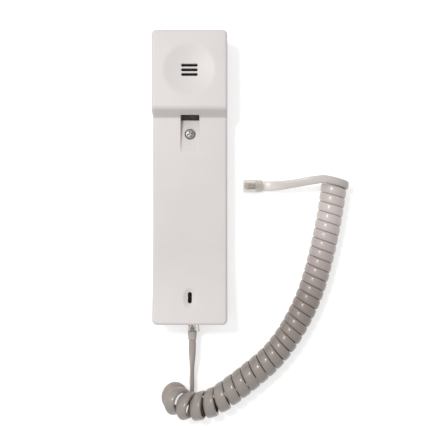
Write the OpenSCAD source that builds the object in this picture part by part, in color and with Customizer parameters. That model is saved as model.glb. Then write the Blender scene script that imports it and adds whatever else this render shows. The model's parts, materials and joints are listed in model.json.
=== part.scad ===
// Audio intercom handset with a curly cord and two modular plugs.
// Lengths in millimetres. X across, Y from the mouth end to the ear end, Z out of the ear face.
// The back of the handset rests on z = 0 with its centre at the origin.

/* [Handset] */
// Length of the handset
handset_len = 175; // [150:1:210]
// Width of the handset
handset_w = 45; // [40:0.5:56]
// Thickness at the ear block
ear_t = 26; // [24:0.5:34]
// Thickness of the grip
grip_t = 17; // [15.5:0.5:20]
// Thickness at the mouth end
chin_t = 24; // [21:0.5:28]
// Length of the flat ear face
ear_len = 44.8; // [42:0.2:52]
// Length over which the mouth end rises
chin_len = 47.5; // [35:0.5:60]
// Length of the sloped step below the ear face
step_run = 6; // [4:0.5:9]
// Wall thickness of the shells
wall = 2; // [1.6:0.1:2.4]
// Height of the line where the shells part
split_z = 10; // [9:0.5:11]
// Radius of the corners seen from the front
corner_r = 3; // [2:0.5:6]

/* [Earpiece] */
// Distance of the ear dish from the top end
ear_from_top = 23.7; // [22:0.1:28]
// Diameter of the ear dish
dish_d = 30; // [24:0.5:32]
// Depth of the ear dish
dish_depth = 1.6; // [1:0.1:2]
// Length of each sound slot
slot_len = 9.8; // [7:0.1:12]
// Width of each sound slot
slot_w = 1.7; // [1.2:0.1:2]
// Distance between the sound slots
slot_pitch = 2.75; // [2.4:0.05:4]
// Diameter of the speaker
speaker_d = 28; // [24:0.5:30]
// Height of the speaker
speaker_h = 8; // [7.5:0.1:9]
// Diameter of the speaker's yoke
yoke_d = 16.2; // [14:0.2:18]

/* [Mouthpiece] */
// Distance of the mouth slot from the mouth end
mic_from_end = 15.7; // [15.4:0.1:24]
// Length of the mouth slot
mic_slot_len = 6.7; // [5:0.1:8]
// Width of the mouth slot
mic_slot_w = 2.4; // [1.5:0.1:3]
// Diameter of the microphone capsule
mic_d = 9.7; // [8:0.1:9.7]

/* [Hook recess and screw] */
// Width of the hook recess
hook_w = 11.3; // [9:0.1:14]
// Length of the ramp in the hook recess
hook_ramp = 19.6; // [17:0.1:24]
// Depth of the ramp at its deep end
hook_depth = 5; // [4.5:0.1:5.5]
// Depth of the pocket under the ear block
hook_pocket = 8; // [6:0.5:9]
// Diameter of the screw head
screw_head_d = 6; // [5:0.1:7]
// Diameter of the screw thread
screw_d = 3; // [2.5:0.1:3.5]
// Length of the screw under its head
screw_len = 9; // [7:0.5:9.5]

/* [Plugs and jack] */
// Width of the modular plug
plug_w = 7.65; // [7.5:0.05:9.6]
// Thickness of the modular plug
plug_t = 4.9; // [4.6:0.1:6.8]
// Length of the modular plug
plug_len = 11.6; // [11:0.1:15]
// How far the plug sits inside the handset
plug_in = 5.5; // [5:0.1:7]
// Sideways position of the plug in the handset
plug_x = 1; // [-3:0.5:3]
// Angle of the free latch lever
latch_angle = 5; // [5:0.5:10]
// Length of the sleeve behind the handset plug
sleeve_len = 5; // [3:0.5:8]

/* [Cord] */
// Width of the flat cord
cord_w = 4.8; // [4:0.1:4.9]
// Thickness of the flat cord
cord_t = 2.6; // [2.2:0.1:3]
// Radius of the cord's middle in the tight curls
curl_r = 6.6; // [5.5:0.1:7]

/* [Hidden] */
fit = 0.15;
gap = 0.3;
half_l = handset_len / 2;
half_w = handset_w / 2;

// Side profile
ear_end_y = half_l - ear_len;
step_foot_y = ear_end_y - step_run;
step_r = 3;
chin_y = -half_l + chin_len;
chin_rise = chin_t - grip_t;
chin_r = (chin_len * chin_len + chin_rise * chin_rise) / (2 * chin_rise);

// Earpiece stack, from the ear face inwards
ear_y = half_l - ear_from_top;
ear_wall = dish_depth + 2;
ceil_z = ear_t - ear_wall;
mesh_t = 0.4;
gasket_t = 1.2;
spk_front = ceil_z - gasket_t;
spk_back = spk_front - speaker_h;
pad_t = 1.2;
dish_r = (dish_d * dish_d / 4 + dish_depth * dish_depth) / (2 * dish_depth);
yoke_r = yoke_d / 2;
coil_r = yoke_r - 2.2;
cone_r = speaker_d / 2 - 1.9;

// Hook recess and screw
hook_top_y = step_foot_y - 1.1;
hook_low_y = hook_top_y - hook_ramp;
hook_floor = grip_t - hook_depth;
hook_roof = hook_floor + 7.5;
hook_back_y = hook_top_y + 2.5 + hook_pocket;
screw_y = hook_low_y + 0.56 * hook_ramp;
screw_head_h = 2;
screw_seat = grip_t - hook_depth * 0.5 - 2.2;
boss_r = 4.2;

// Clip tabs at both ends
tab_in = 9;

// Plug and jack, in a frame with the plug's nose at x = 0, its cord along +x and its latch on +z
jack_wall = 1.2;
jack_floor = 1.4;
key_h = 3;
key_w = 4.2;
jack_back = -6;
jack_front = plug_in - wall;
jack_h = plug_w + 2 * fit + 2 * jack_wall;
jack_z = wall + jack_h / 2;
jack_top = wall + jack_h;
nose_y = -half_l + plug_in;
plug_pos = [plug_x - plug_t / 2, nose_y, jack_z];
contact_pitch = 1.02;
contact_t = 0.35;
pin_r = 0.2;
pin_end = jack_back - 1.5;
latch_w = 3.4;
latch_t = 0.9;
latch_len = plug_len - 0.6;
latch_x = 1.2;
latch_z = plug_t - 0.2;
latch_root_r = 0.6;

// Microphone stack, between the face and the jack
mic_y = -half_l + mic_from_end;
mic_face = face_z(mic_y);
mic_slope = asin((chin_y - mic_y) / chin_r);
dimple_depth = 1.27;
dimple_long = 14.1;
dimple_short = 6.17;
mic_ceil = mic_face - dimple_depth - 1.9;
mic_room = 0.18;
mic_h = mic_ceil - mesh_t - jack_top - mic_room;
boot_r = mic_d / 2 + 1.35;

// Free plug on the floor, nose towards the handset
line_plug_pos = [32.6, -3.9, 0];

// Cord leads: each point has x, y, z and the roll of the cord's width about its run
lead_end_y = nose_y - plug_len - sleeve_len;
lead_handset = [
    [plug_x, lead_end_y, jack_z, 62], [plug_x, lead_end_y - 5, jack_z, 62],
    [0.9, -108, 6.8, 66], [0.8, -112, 6, 74], [0.7, -116, 4.9, 82],
    [0.7, -120, 3.8, 86], [0.6, -123.6, 3.2, 80], [0.4, -126.8, 2.9, 70]
];
lead_line = [
    [82, -0.2, 15.9, 2], [76, -0.8, 15.7, -10], [70, -1.7, 14.4, -26], [64, -2.7, 11.9, -34],
    [58, -3.4, 8.6, -26], [53.5, -3.8, 5.4, -10], [49.5, -3.9, 3.2, 0],
    [line_plug_pos[0] + plug_len, line_plug_pos[1], plug_t / 2, 0]
];

// Middle line of the curly cord, from the handset end to the free end: each point has x, y, z,
// the lean of the curls there and the direction that they face, both in degrees
curl_axis = [
    [-7, -130.6, 6.6, 62, 6], [-8.8, -132, 6.6, 60, 6], [-9.8, -132.8, 9.8, 54, 6], [-8.8, -133.6, 13, 48, 6],
    [-5.4, -136, 13.5, 42, 7], [0, -138.6, 12, 35, 9], [7, -138.7, 10.5, 24, 14], [13.8, -136.8, 9.7, 15, 22],
    [19.6, -133.6, 9.4, 10, 30], [25.2, -129.6, 9.2, 7, 35], [34.5, -122.6, 9.1, 5, 39], [48.5, -110.8, 8.7, 3, 44],
    [58.3, -99, 8.5, 0, 53], [65.8, -86.7, 8.3, 0, 60], [71.8, -74.4, 8.2, 0, 67], [76.3, -62, 8.1, 0, 72],
    [79.7, -49.7, 8.1, 0, 76], [82.6, -37.4, 8, 0, 78], [85.1, -25, 8.1, 0, 80], [87, -13.6, 8.2, 0, 81],
    [88.6, -1.6, 8.4, 0, 82]
];
curl_turns = 31.5;
curl_steps = 8;
curl_sides = 6;
curl_tight = 5.55;
curl_loose = 1.8;
curl_mid = 9.2;
curl_ease = 1.9;

// Inner wires
wire_r = 0.45;
wire_floor = wall + wire_r + 0.35;
pin_x = plug_pos[0] - 0.04;
pin_y = nose_y - pin_end;
board_z = spk_back + 3.2;

// Height of the front face over the grip and the mouth end
function face_z(y) = y > chin_y ? grip_t : grip_t + chin_r - sqrt(chin_r * chin_r - (chin_y - y) * (chin_y - y));

// Front outline seen from the side, moved inwards by d, with the ear face moved by e
function side_profile(d, e) = concat(
    [[-half_l + d, split_z - 5]],
    [for (i = [0 : 10]) let (y = -half_l + d + (chin_len - d) * i / 10) [y, face_z(y) - d]],
    [[step_foot_y + d * 0.6, grip_t - d]],
    [for (i = [0 : 4]) let (q = 158 - 17 * i)
        [ear_end_y + d * 0.6 + step_r * cos(q), ear_t - e - step_r + step_r * sin(q)]],
    [[half_l - d, ear_t - e], [half_l - d, split_z - 5]]
);

// Smooth curve through points, four at a time
function curve_at(p, q, r, s, t) = 0.5 * (2 * q + (r - p) * t + (2 * p - 5 * q + 4 * r - s) * t * t
    + (3 * q - p - 3 * r + s) * t * t * t);
function point_on(list, i) = i < 0 ? 2 * list[0] - list[1]
    : i >= len(list) ? 2 * list[len(list) - 1] - list[len(list) - 2] : list[i];
function curve(list, n) = concat(
    [for (i = [0 : len(list) - 2], k = [0 : n - 1])
        curve_at(point_on(list, i - 1), list[i], list[i + 1], point_on(list, i + 2), k / n)],
    [list[len(list) - 1]]
);

// Vectors
function unit(v) = v / norm(v);
function xyz(p) = [p[0], p[1], p[2]];
function run_at(list, i) = unit(list[min(i + 1, len(list) - 1)] - list[max(i - 1, 0)]);

// Lengths along a list of points, and the point at a length
function lengths(list, i = 1, sum = [0]) = i >= len(list) ? sum
    : lengths(list, i + 1, concat(sum, [sum[i - 1] + norm(list[i] - list[i - 1])]));
function find_span(sums, s, lo, hi) = hi - lo <= 1 ? lo
    : let (mid = floor((lo + hi) / 2)) sums[mid] <= s ? find_span(sums, s, mid, hi) : find_span(sums, s, lo, mid);
function at_length(list, sums, s) = let (i = find_span(sums, s, 0, len(list) - 1))
    list[i] + (list[i + 1] - list[i]) * (s - sums[i]) / (sums[i + 1] - sums[i]);

// Curly cord: length along its middle line after n turns, looser at the handset and tight from the middle turn on
function curl_length(n) = curl_tight * n + curl_loose * (n - curl_ease
    * ln((1 + exp((n - curl_mid) / curl_ease)) / (1 + exp(-curl_mid / curl_ease))));
curl_path = curve(curl_axis, 8);
curl_sums = lengths([for (p = curl_path) xyz(p)]);
curl_total = curl_sums[len(curl_sums) - 1];
curl_scale = curl_total / curl_length(curl_turns);
function curl_s(n) = min(curl_total, curl_length(n) * curl_scale);
function curl_radius(n) = curl_r + 0.9 * max(0, 1 - curl_s(n) / 90) + 0.5 * max(0, 1 - n)
    + 1.5 * max(0, n - curl_turns + 0.7);
function curl_mid_at(n) = at_length(curl_path, curl_sums, curl_s(n));
function curl_out(n) = let (p = curl_mid_at(n), t = [cos(p[4]), sin(p[4]), 0], a = 270 + 360 * n)
    cos(a) * cross(t, [0, 0, 1]) + sin(a) * (cos(p[3]) * [0, 0, 1] - sin(p[3]) * t);
function curl_point(n) = xyz(curl_mid_at(n)) + curl_radius(n) * curl_out(n);
curl_count = curl_turns * curl_steps;
curl_points = [for (i = [0 : curl_count]) curl_point(i / curl_steps)];
curl_rings = [for (i = [0 : curl_count]) let (t = run_at(curl_points, i), o = curl_out(i / curl_steps),
    d = unit(o - (o * t) * t)) ring(curl_points[i], cross(t, d), d, curl_sides)];

// One ring of a flat cord: middle, direction of the width, direction of the thickness
function ring(c, w, d, sides) = [for (k = [0 : sides - 1]) let (a = 360 * k / sides)
    c + w * cord_w / 2 * cos(a) + d * cord_t / 2 * sin(a)];

// Direction of a flat cord's width, from its run and its roll
function rolled(t, roll) = let (h = unit(cross([0, 0, 1], t))) cos(roll) * h + sin(roll) * cross(t, h);
function roll_of(t, w) = let (h = unit(cross([0, 0, 1], t))) atan2(w * cross(t, h), w * h);

// Rings of a lead through points with roll; its first and last run can be given
function lead_rings(list, n, run_0, run_1) = let (pts = curve(list, n), line = [for (p = pts) xyz(p)],
    last = len(pts) - 1) [for (i = [0 : last])
    let (t = i == 0 ? run_0 : i == last ? run_1 : run_at(line, i), w = rolled(t, pts[i][3]))
        ring(line[i], w, cross(t, w), 8)];

// Round tube through points
function tube_rings(list, n, r) = let (pts = curve(list, n)) [for (i = [0 : len(pts) - 1])
    let (t = run_at(pts, i), ref = abs(t[2]) > 0.9 ? [1, 0, 0] : [0, 0, 1], h = unit(cross(ref, t)), v = cross(t, h))
    [for (k = [0 : 7]) pts[i] + r * (cos(45 * k) * h + sin(45 * k) * v)]];

// Ends of the curly cord, where the leads take over
curl_run_0 = run_at(curl_points, 0);
curl_run_1 = run_at(curl_points, curl_count);
curl_roll_0 = roll_of(curl_run_0, unit(curl_rings[0][0] - curl_points[0]));
curl_end_0 = concat(curl_points[0], [curl_roll_0]);
curl_end_1 = concat(curl_points[curl_count], [0]);

// Least gap between one curl and the next, on points
function to_line(p, a, b) = let (d = b - a, t = max(0, min(1, ((p - a) * d) / (d * d)))) norm(p - a - t * d);
curl_gap = min([for (i = [0 : curl_count - curl_steps - 2], k = [0 : curl_sides - 1], j = [-2 : 1],
    m = [0 : curl_sides - 1]) to_line(curl_rings[i][k], curl_rings[i + curl_steps + j][m],
    curl_rings[i + curl_steps + j + 1][m])]);
echo(least_gap_between_curls = curl_gap);

// Closed solid from a list of rings
module sweep(rings) {
    n = len(rings);
    s = len(rings[0]);
    points = [for (r = rings, p = r) p];
    sides = [for (i = [0 : n - 2], k = [0 : s - 1], h = [0, 1]) let (a = i * s + k, b = i * s + (k + 1) % s)
        h == 0 ? [a, a + s, b + s] : [a, b + s, b]];
    first = [for (k = [1 : s - 2]) [0, k, k + 1]];
    last = [for (k = [1 : s - 2]) [(n - 1) * s, (n - 1) * s + k + 1, (n - 1) * s + k]];
    polyhedron(points, concat(sides, first, last));
}

module rounded(w, l, r) {
    square([w - 2 * r, l], center = true);
    square([w, l - 2 * r], center = true);
    for (x = [-1, 1], y = [-1, 1])
        translate([x * (w / 2 - r), y * (l / 2 - r)])
            circle(r = r, $fn = 32);
}

module outline(inset, z, h) {
    translate([0, 0, z])
        linear_extrude(h)
            rounded(handset_w - 2 * inset, handset_len - 2 * inset, max(corner_r - inset, 0.6));
}

module side_solid(w, points) {
    translate([-w / 2, 0, 0])
        rotate([90, 0, 90])
            linear_extrude(w)
                polygon(points);
}

module box(x0, x1, y0, y1, z0, z1) {
    translate([x0, y0, z0])
        cube([x1 - x0, y1 - y0, z1 - z0]);
}

module tube(r_out, r_in, z0, z1) {
    difference() {
        translate([0, 0, z0])
            cylinder(r = r_out, h = z1 - z0, $fn = 64);
        translate([0, 0, z0 - 1])
            cylinder(r = r_in, h = z1 - z0 + 2, $fn = 64);
    }
}

module slot_hole(len, w, z0, z1) {
    translate([0, 0, z0])
        linear_extrude(z1 - z0) {
            square([len - w, w], center = true);
            for (x = [-1, 1])
                translate([x * (len - w) / 2, 0])
                    circle(d = w, $fn = 24);
        }
}

module in_jack() {
    translate(plug_pos)
        rotate([-90, 0, -90])
            children();
}

// Opening for the plug through the mouth end, in the plug's frame
module plug_way(grow) {
    half = plug_w / 2 + fit + grow;
    box(-1, plug_in + 2, -half, half, -gap - grow, plug_t + fit + grow);
    box(-1, plug_in + 2, -key_w / 2 - grow, key_w / 2 + grow, 0, plug_t + key_h + grow);
}

// Clip tabs on the rim of the back shell, at one end
module tabs() {
    for (x = [-1, 1])
        translate([x * (half_w - tab_in) - 3, half_l - wall, 0]) {
            box(0, 6, -1.35, 0.3, split_z - 4, split_z + 1.3);
            box(0, 6, -1.35, -fit, split_z - 4, split_z + 3.5);
            box(0, 6, -1, 0.6, split_z + 2.1, split_z + 3.1);
        }
}

module tab_notches() {
    for (x = [-1, 1])
        translate([x * (half_w - tab_in) - 3, half_l - wall, 0])
            box(-0.2, 6.2, -0.1, 0.8, split_z + 1.6, split_z + 3.6);
}

// Hollow of the front shell
module front_hollow() {
    intersection() {
        outline(wall, split_z - 1, ear_t);
        side_solid(handset_w + 2, side_profile(wall, ear_wall));
    }
}

// Hook recess with the screw's seat and hole
module hook_cut() {
    side_solid(hook_w, [
        [hook_low_y, grip_t], [hook_top_y, hook_floor], [hook_back_y, hook_floor],
        [hook_back_y, hook_roof], [step_foot_y + 1, hook_roof],
        [step_foot_y - 1, grip_t + 4], [hook_low_y, grip_t + 4]
    ]);
    translate([0, screw_y, screw_seat])
        cylinder(r = screw_head_d / 2 + 0.35, h = 9, $fn = 48);
    translate([0, screw_y, split_z - 1])
        cylinder(r = screw_d / 2 + 0.2, h = 12, $fn = 32);
}

module hook_tray() {
    color([0.87, 0.85, 0.84])
        difference() {
            intersection() {
                union() {
                    side_solid(hook_w + 3, [
                        [hook_low_y - 2, grip_t - 0.5], [hook_low_y - 2, grip_t - wall],
                        [hook_top_y, hook_floor - wall], [hook_back_y + 1.5, hook_floor - wall],
                        [hook_back_y + 1.5, hook_roof + 1.5], [step_foot_y + 3, hook_roof + 1.5],
                        [step_foot_y + 1, grip_t - 0.5]
                    ]);
                    translate([0, screw_y, split_z])
                        cylinder(r = boss_r, h = screw_seat - split_z + 1, $fn = 48);
                }
                front_hollow();
            }
            hook_cut();
            box(-hook_w / 2, hook_w / 2, hook_top_y, hook_back_y - 4, split_z - 2, hook_floor + 1);
        }
}

module front_shell() {
    color([0.89, 0.87, 0.86])
        difference() {
            union() {
                difference() {
                    intersection() {
                        outline(0, split_z, ear_t);
                        side_solid(handset_w + 2, side_profile(0, 0));
                    }
                    front_hollow();
                }
                translate([0, ear_y, 0])
                    tube(speaker_d / 2 + fit + 1.6, speaker_d / 2 + fit, spk_front - 3, ceil_z + 0.5);
                intersection() {
                    translate([0, mic_y, 0])
                        cylinder(r = boot_r + fit + 1.4, h = chin_t, $fn = 64);
                    side_solid(handset_w, side_profile(0.5, 0.5));
                    box(-half_w, half_w, -half_l + 1, chin_y, mic_ceil - mic_h + 0.2, chin_t);
                }
            }
            translate([0, ear_y, ear_t - dish_depth + dish_r])
                sphere(r = dish_r, $fn = 128);
            for (i = [-1 : 1])
                translate([0, ear_y + i * slot_pitch, 0])
                    slot_hole(slot_len, slot_w, ceil_z - 1, ear_t + 1);
            hook_cut();
            translate([0, mic_y, mic_face])
                rotate([-mic_slope, 0, 0])
                    translate([0, 0, dimple_long - dimple_depth])
                        rotate([0, 90, 0])
                            rotate_extrude($fn = 96)
                                translate([dimple_long - dimple_short, 0])
                                    circle(r = dimple_short, $fn = 64);
            translate([0, mic_y, 0])
                rotate([0, 0, 90])
                    slot_hole(mic_slot_len, mic_slot_w, mic_ceil - 1, chin_t + 1);
            translate([0, mic_y, 0])
                cylinder(r = boot_r + fit, h = mic_ceil, $fn = 64);
            difference() {
                outline(wall / 2 - 0.05, split_z - 1, 2.7);
                outline(wall + 0.02, split_z - 2, 6);
            }
            for (a = [0, 180])
                rotate([0, 0, a])
                    tab_notches();
            in_jack()
                plug_way(0.3);
        }
}

module back_shell() {
    color([0.88, 0.86, 0.85])
        difference() {
            union() {
                difference() {
                    intersection() {
                        outline(0, 0, split_z);
                        rounded_back(0, 4);
                    }
                    intersection() {
                        outline(wall, wall, split_z);
                        rounded_back(wall, 2);
                    }
                }
                difference() {
                    outline(wall / 2 + 0.1, split_z - 3, 4.5);
                    outline(wall, split_z - 4, 9);
                }
                for (a = [0, 180])
                    rotate([0, 0, a])
                        tabs();
                translate([0, screw_y, wall - 0.5])
                    cylinder(r = boss_r, h = split_z - wall + 0.5, $fn = 48);
                translate([0, ear_y, 0])
                    tube(yoke_r, yoke_r - 1.6, wall - 0.5, spk_back - pad_t);
                for (a = [0, 90])
                    translate([0, ear_y, 0])
                        rotate([0, 0, a])
                            box(-yoke_r + 0.8, yoke_r - 0.8, -0.8, 0.8, wall - 0.5, spk_back - pad_t);
                in_jack()
                    for (z = [-gap - jack_floor - 1.6, plug_t + key_h + 0.7 + fit])
                        box(jack_back, jack_front - 2.5, jack_h / 2 - 5.4, jack_h / 2 + 0.5, z, z + 1.4);
            }
            translate([0, screw_y, split_z - screw_len - 0.5])
                cylinder(r = screw_d / 2 + 0.03, h = 20, $fn = 32);
            in_jack()
                plug_way(0.3);
        }
}

module rounded_back(inset, r) {
    translate([0, half_l + 1, 0])
        rotate([90, 0, 0])
            linear_extrude(handset_len + 2)
                back_section(handset_w - 2 * inset, r, inset);
}

module back_section(w, r, z) {
    translate([-w / 2 + r, z])
        square([w - 2 * r, 2 * split_z]);
    translate([-w / 2, z + r])
        square([w, 2 * split_z]);
    for (x = [-1, 1])
        translate([x * (w / 2 - r), z + r])
            circle(r = r, $fn = 48);
}

module case_screw() {
    color([0.62, 0.62, 0.63])
        translate([0, screw_y, screw_seat])
            difference() {
                union() {
                    cylinder(r = screw_head_d / 2, h = screw_head_h, $fn = 48);
                    translate([0, 0, -screw_len])
                        cylinder(r = screw_d / 2, h = screw_len + 0.5, $fn = 32);
                }
                for (a = [0, 90])
                    rotate([0, 0, a + 20])
                        translate([-screw_head_d * 0.3, -0.4, 0.8])
                            cube([screw_head_d * 0.6, 0.8, 3]);
            }
}

module ear_mesh() {
    color([0.08, 0.08, 0.08])
        translate([0, ear_y, ceil_z - mesh_t])
            cylinder(d = slot_len + 4, h = mesh_t, $fn = 48);
}

module speaker_gasket() {
    color([0.15, 0.15, 0.15])
        translate([0, ear_y, 0])
            tube(speaker_d / 2, speaker_d / 2 - 2.4, spk_front, ceil_z);
}

module speaker_frame() {
    color([0.25, 0.25, 0.27])
        translate([0, ear_y, 0])
            rotate_extrude($fn = 64)
                polygon([
                    [cone_r + 0.3, spk_front], [speaker_d / 2, spk_front], [speaker_d / 2, spk_front - 2.4],
                    [yoke_r + 1.6, spk_back + 2.4], [yoke_r + 0.02, spk_back + 2.4], [yoke_r + 0.02, spk_back + 3.6],
                    [yoke_r + 0.8, spk_back + 3.6], [cone_r + 0.3, spk_front - 1.6]
                ]);
}

module speaker_yoke() {
    color([0.6, 0.6, 0.6])
        translate([0, ear_y, 0])
            difference() {
                translate([0, 0, spk_back])
                    cylinder(r = yoke_r, h = 4, $fn = 64);
                translate([0, 0, spk_back + 1])
                    cylinder(r = yoke_r - 1.2, h = 4, $fn = 64);
            }
}

module speaker_magnet() {
    color([0.3, 0.3, 0.32])
        translate([0, ear_y, spk_back + 1])
            cylinder(r = coil_r - 0.6, h = 2, $fn = 64);
}

module speaker_pole_plate() {
    color([0.7, 0.7, 0.72])
        translate([0, ear_y, spk_back + 3])
            cylinder(r = coil_r - 0.5, h = 1, $fn = 64);
}

module speaker_voice_coil() {
    color([0.72, 0.42, 0.2])
        translate([0, ear_y, 0])
            tube(coil_r + 0.5, coil_r, spk_back + 2, spk_back + 5.2);
}

module speaker_diaphragm() {
    color([0.75, 0.72, 0.6])
        translate([0, ear_y, 0])
            rotate_extrude($fn = 64)
                polygon([
                    [0, spk_back + 6.2], [coil_r * 0.6, spk_back + 5.9], [coil_r + 0.6, spk_back + 5.2],
                    [cone_r, spk_front - 1], [cone_r, spk_front - 0.6], [coil_r + 0.6, spk_back + 5.6],
                    [coil_r * 0.6, spk_back + 6.3], [0, spk_back + 6.6]
                ]);
}

module speaker_terminals() {
    color([0.2, 0.4, 0.2])
        translate([0, ear_y, 0])
            difference() {
                box(-speaker_d / 2 + 0.6, -yoke_r - 0.02, -4, 4, spk_back + 1.4, spk_back + 2.4);
                translate([0, 0, spk_back])
                    cylinder(r = yoke_r + 0.02, h = 5, $fn = 64);
            }
}

module speaker_pad() {
    color([0.2, 0.2, 0.22])
        translate([0, ear_y, spk_back - pad_t])
            cylinder(r = yoke_r, h = pad_t, $fn = 48);
}

module mic_mesh() {
    color([0.08, 0.08, 0.08])
        translate([0, mic_y, mic_ceil - mesh_t])
            cylinder(r = mic_d / 2, h = mesh_t, $fn = 48);
}

module mic_capsule() {
    color([0.7, 0.7, 0.72])
        translate([0, mic_y, mic_ceil - mesh_t - mic_h])
            cylinder(r = mic_d / 2, h = mic_h, $fn = 48);
}

module mic_boot() {
    color([0.12, 0.12, 0.12])
        translate([0, mic_y, 0])
            tube(boot_r, mic_d / 2 + 0.05, mic_ceil - mesh_t - mic_h + 0.2, mic_ceil);
}

module mic_board() {
    color([0.2, 0.4, 0.2])
        translate([0, mic_y, mic_ceil - mesh_t - mic_h - 0.8])
            cylinder(r = mic_d / 2 - 1, h = 0.8, $fn = 48);
}

module jack_housing() {
    half = jack_h / 2;
    color([0.16, 0.16, 0.17])
        in_jack()
            difference() {
                box(jack_back, jack_front, -half, half, -gap - jack_floor, plug_t + key_h + 0.7);
                box(-1.2, jack_front + 1, -plug_w / 2 - fit, plug_w / 2 + fit, -gap, plug_t + fit);
                box(-1.2, jack_front + 1, -key_w / 2, key_w / 2, 0, plug_t + key_h);
                for (i = [-1.5 : 1.5])
                    translate([jack_back - 1, i * contact_pitch, -0.04])
                        rotate([0, 90, 0])
                            cylinder(r = pin_r + 0.02, h = 6, $fn = 24);
            }
}

module jack_contacts() {
    color([0.85, 0.68, 0.32])
        in_jack()
            for (i = [-1.5 : 1.5])
                translate([pin_end, i * contact_pitch, -0.04])
                    rotate([0, 90, 0])
                        cylinder(r = pin_r, h = jack_front - 0.4 - pin_end, $fn = 24);
}

module plug_body() {
    groove = latch_w / 2 + 0.15;
    difference() {
        box(0, plug_len, -plug_w / 2, plug_w / 2, 0, plug_t);
        for (i = [-1.5 : 1.5])
            box(-1, 5, i * contact_pitch - 0.35, i * contact_pitch + 0.35, -1, 2.6);
        translate([latch_x, -groove, latch_z])
            rotate([-90, 0, 0])
                cylinder(r = latch_root_r + 0.05, h = 2 * groove, $fn = 32);
    }
}

module plug_contacts() {
    for (i = [-1.5 : 1.5])
        box(0.9, 4.6, i * contact_pitch - contact_t / 2, i * contact_pitch + contact_t / 2, 0.25, 2.6);
}

module plug_latch() {
    translate([latch_x, 0, latch_z]) {
        translate([0, -latch_w / 2, 0])
            rotate([-90, 0, 0])
                cylinder(r = latch_root_r, h = latch_w, $fn = 32);
        rotate([0, -latch_angle, 0])
            box(0, latch_len, -latch_w / 2, latch_w / 2, 0.35, 0.35 + latch_t);
    }
}

module handset_plug_body() {
    color([0.8, 0.8, 0.78, 0.6])
        in_jack()
            plug_body();
}

module handset_plug_contacts() {
    color([0.85, 0.68, 0.32])
        in_jack()
            plug_contacts();
}

module handset_plug_latch() {
    color([0.8, 0.8, 0.78, 0.6])
        in_jack()
            plug_latch();
}

module cord_sleeve() {
    color([0.66, 0.64, 0.62])
        in_jack()
            translate([plug_len, 0, plug_t / 2])
                rotate([0, 90, 0])
                    linear_extrude(sleeve_len) {
                        square([4.4, 1.2], center = true);
                        for (y = [-0.6, 0.6])
                            translate([0, y])
                                circle(r = 2.2, $fn = 32);
                    }
}

module cord_lead_handset() {
    color([0.68, 0.65, 0.63])
        sweep(lead_rings(concat(lead_handset, [curl_end_0]), 2, [0, -1, 0], curl_run_0));
}

module cord_coil() {
    color([0.68, 0.65, 0.63])
        sweep(curl_rings);
}

module cord_lead_line() {
    color([0.75, 0.73, 0.71])
        sweep(lead_rings(concat([curl_end_1], lead_line), 2, curl_run_1, [-1, 0, 0]));
}

module line_plug_body() {
    color([0.8, 0.8, 0.78, 0.6])
        translate(line_plug_pos)
            plug_body();
}

module line_plug_contacts() {
    color([0.85, 0.68, 0.32])
        translate(line_plug_pos)
            plug_contacts();
}

module line_plug_latch() {
    color([0.8, 0.8, 0.78, 0.6])
        translate(line_plug_pos)
            plug_latch();
}

module speaker_wires() {
    x = -half_w + 10;
    pad_x = -speaker_d / 2 + 1.5;
    color([0.75, 0.2, 0.15])
        for (i = [-1, 1]) {
            z = jack_z + i * contact_pitch / 2;
            sweep(tube_rings([
                [pin_x, pin_y, z], [pin_x, pin_y + 2, z], [pin_x - 1.5, pin_y + 5, z - 0.6],
                [-7 + i, pin_y + 12, 4.4 + i * 0.3], [x + 0.6 * i, pin_y + 22, wire_floor],
                [x + 0.6 * i, -20, wire_floor], [x + 0.6 * i, 10, wire_floor],
                [x + 0.6 * i, ear_y - 12, wire_floor + 0.4], [pad_x + 1.2 * i, ear_y - 6, 6],
                [pad_x + 1.5 * i, ear_y - 1, board_z - 6], [pad_x + 1.5 * i, ear_y, board_z - 3.8],
                [pad_x + 1.5 * i, ear_y, board_z - 1.85]
            ], 3, wire_r));
        }
}

module mic_wires() {
    z = mic_ceil - mesh_t - mic_h - 0.8;
    color([0.2, 0.3, 0.65])
        for (i = [-1, 1])
            sweep(tube_rings([
                [pin_x, pin_y, jack_z + 1.5 * i * contact_pitch],
                [pin_x, pin_y + 1.4, jack_z + 1.5 * i * contact_pitch],
                [pin_x + 0.4 - 0.6 * i, mic_y + 0.4, jack_z + 1.8 * i + 0.6],
                [-0.2 - 1.5 * i, mic_y + 0.6 - 0.4 * i, z - 2.2 + 0.4 * i],
                [-1.6 * i, mic_y, z - 0.9], [-1.6 * i, mic_y, z - 0.05]
            ], 4, wire_r));
}

front_shell();
hook_tray();
back_shell();
case_screw();
ear_mesh();
speaker_gasket();
speaker_frame();
speaker_yoke();
speaker_magnet();
speaker_pole_plate();
speaker_voice_coil();
speaker_diaphragm();
speaker_terminals();
speaker_pad();
mic_mesh();
mic_capsule();
mic_boot();
mic_board();
jack_housing();
jack_contacts();
speaker_wires();
mic_wires();
handset_plug_body();
handset_plug_contacts();
handset_plug_latch();
cord_sleeve();
cord_lead_handset();
cord_coil();
cord_lead_line();
line_plug_body();
line_plug_contacts();
line_plug_latch();
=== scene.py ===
# %% [markdown]
# # An intercom handset and its curly cord
# This lesson dresses a finished mechanical model of an intercom handset. The model is loaded first and never moves.
# Every new piece is worked out in the model's own millimetres and turned into metres when its mesh is made.

# %% Load the fixed frame
import json
import math

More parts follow.
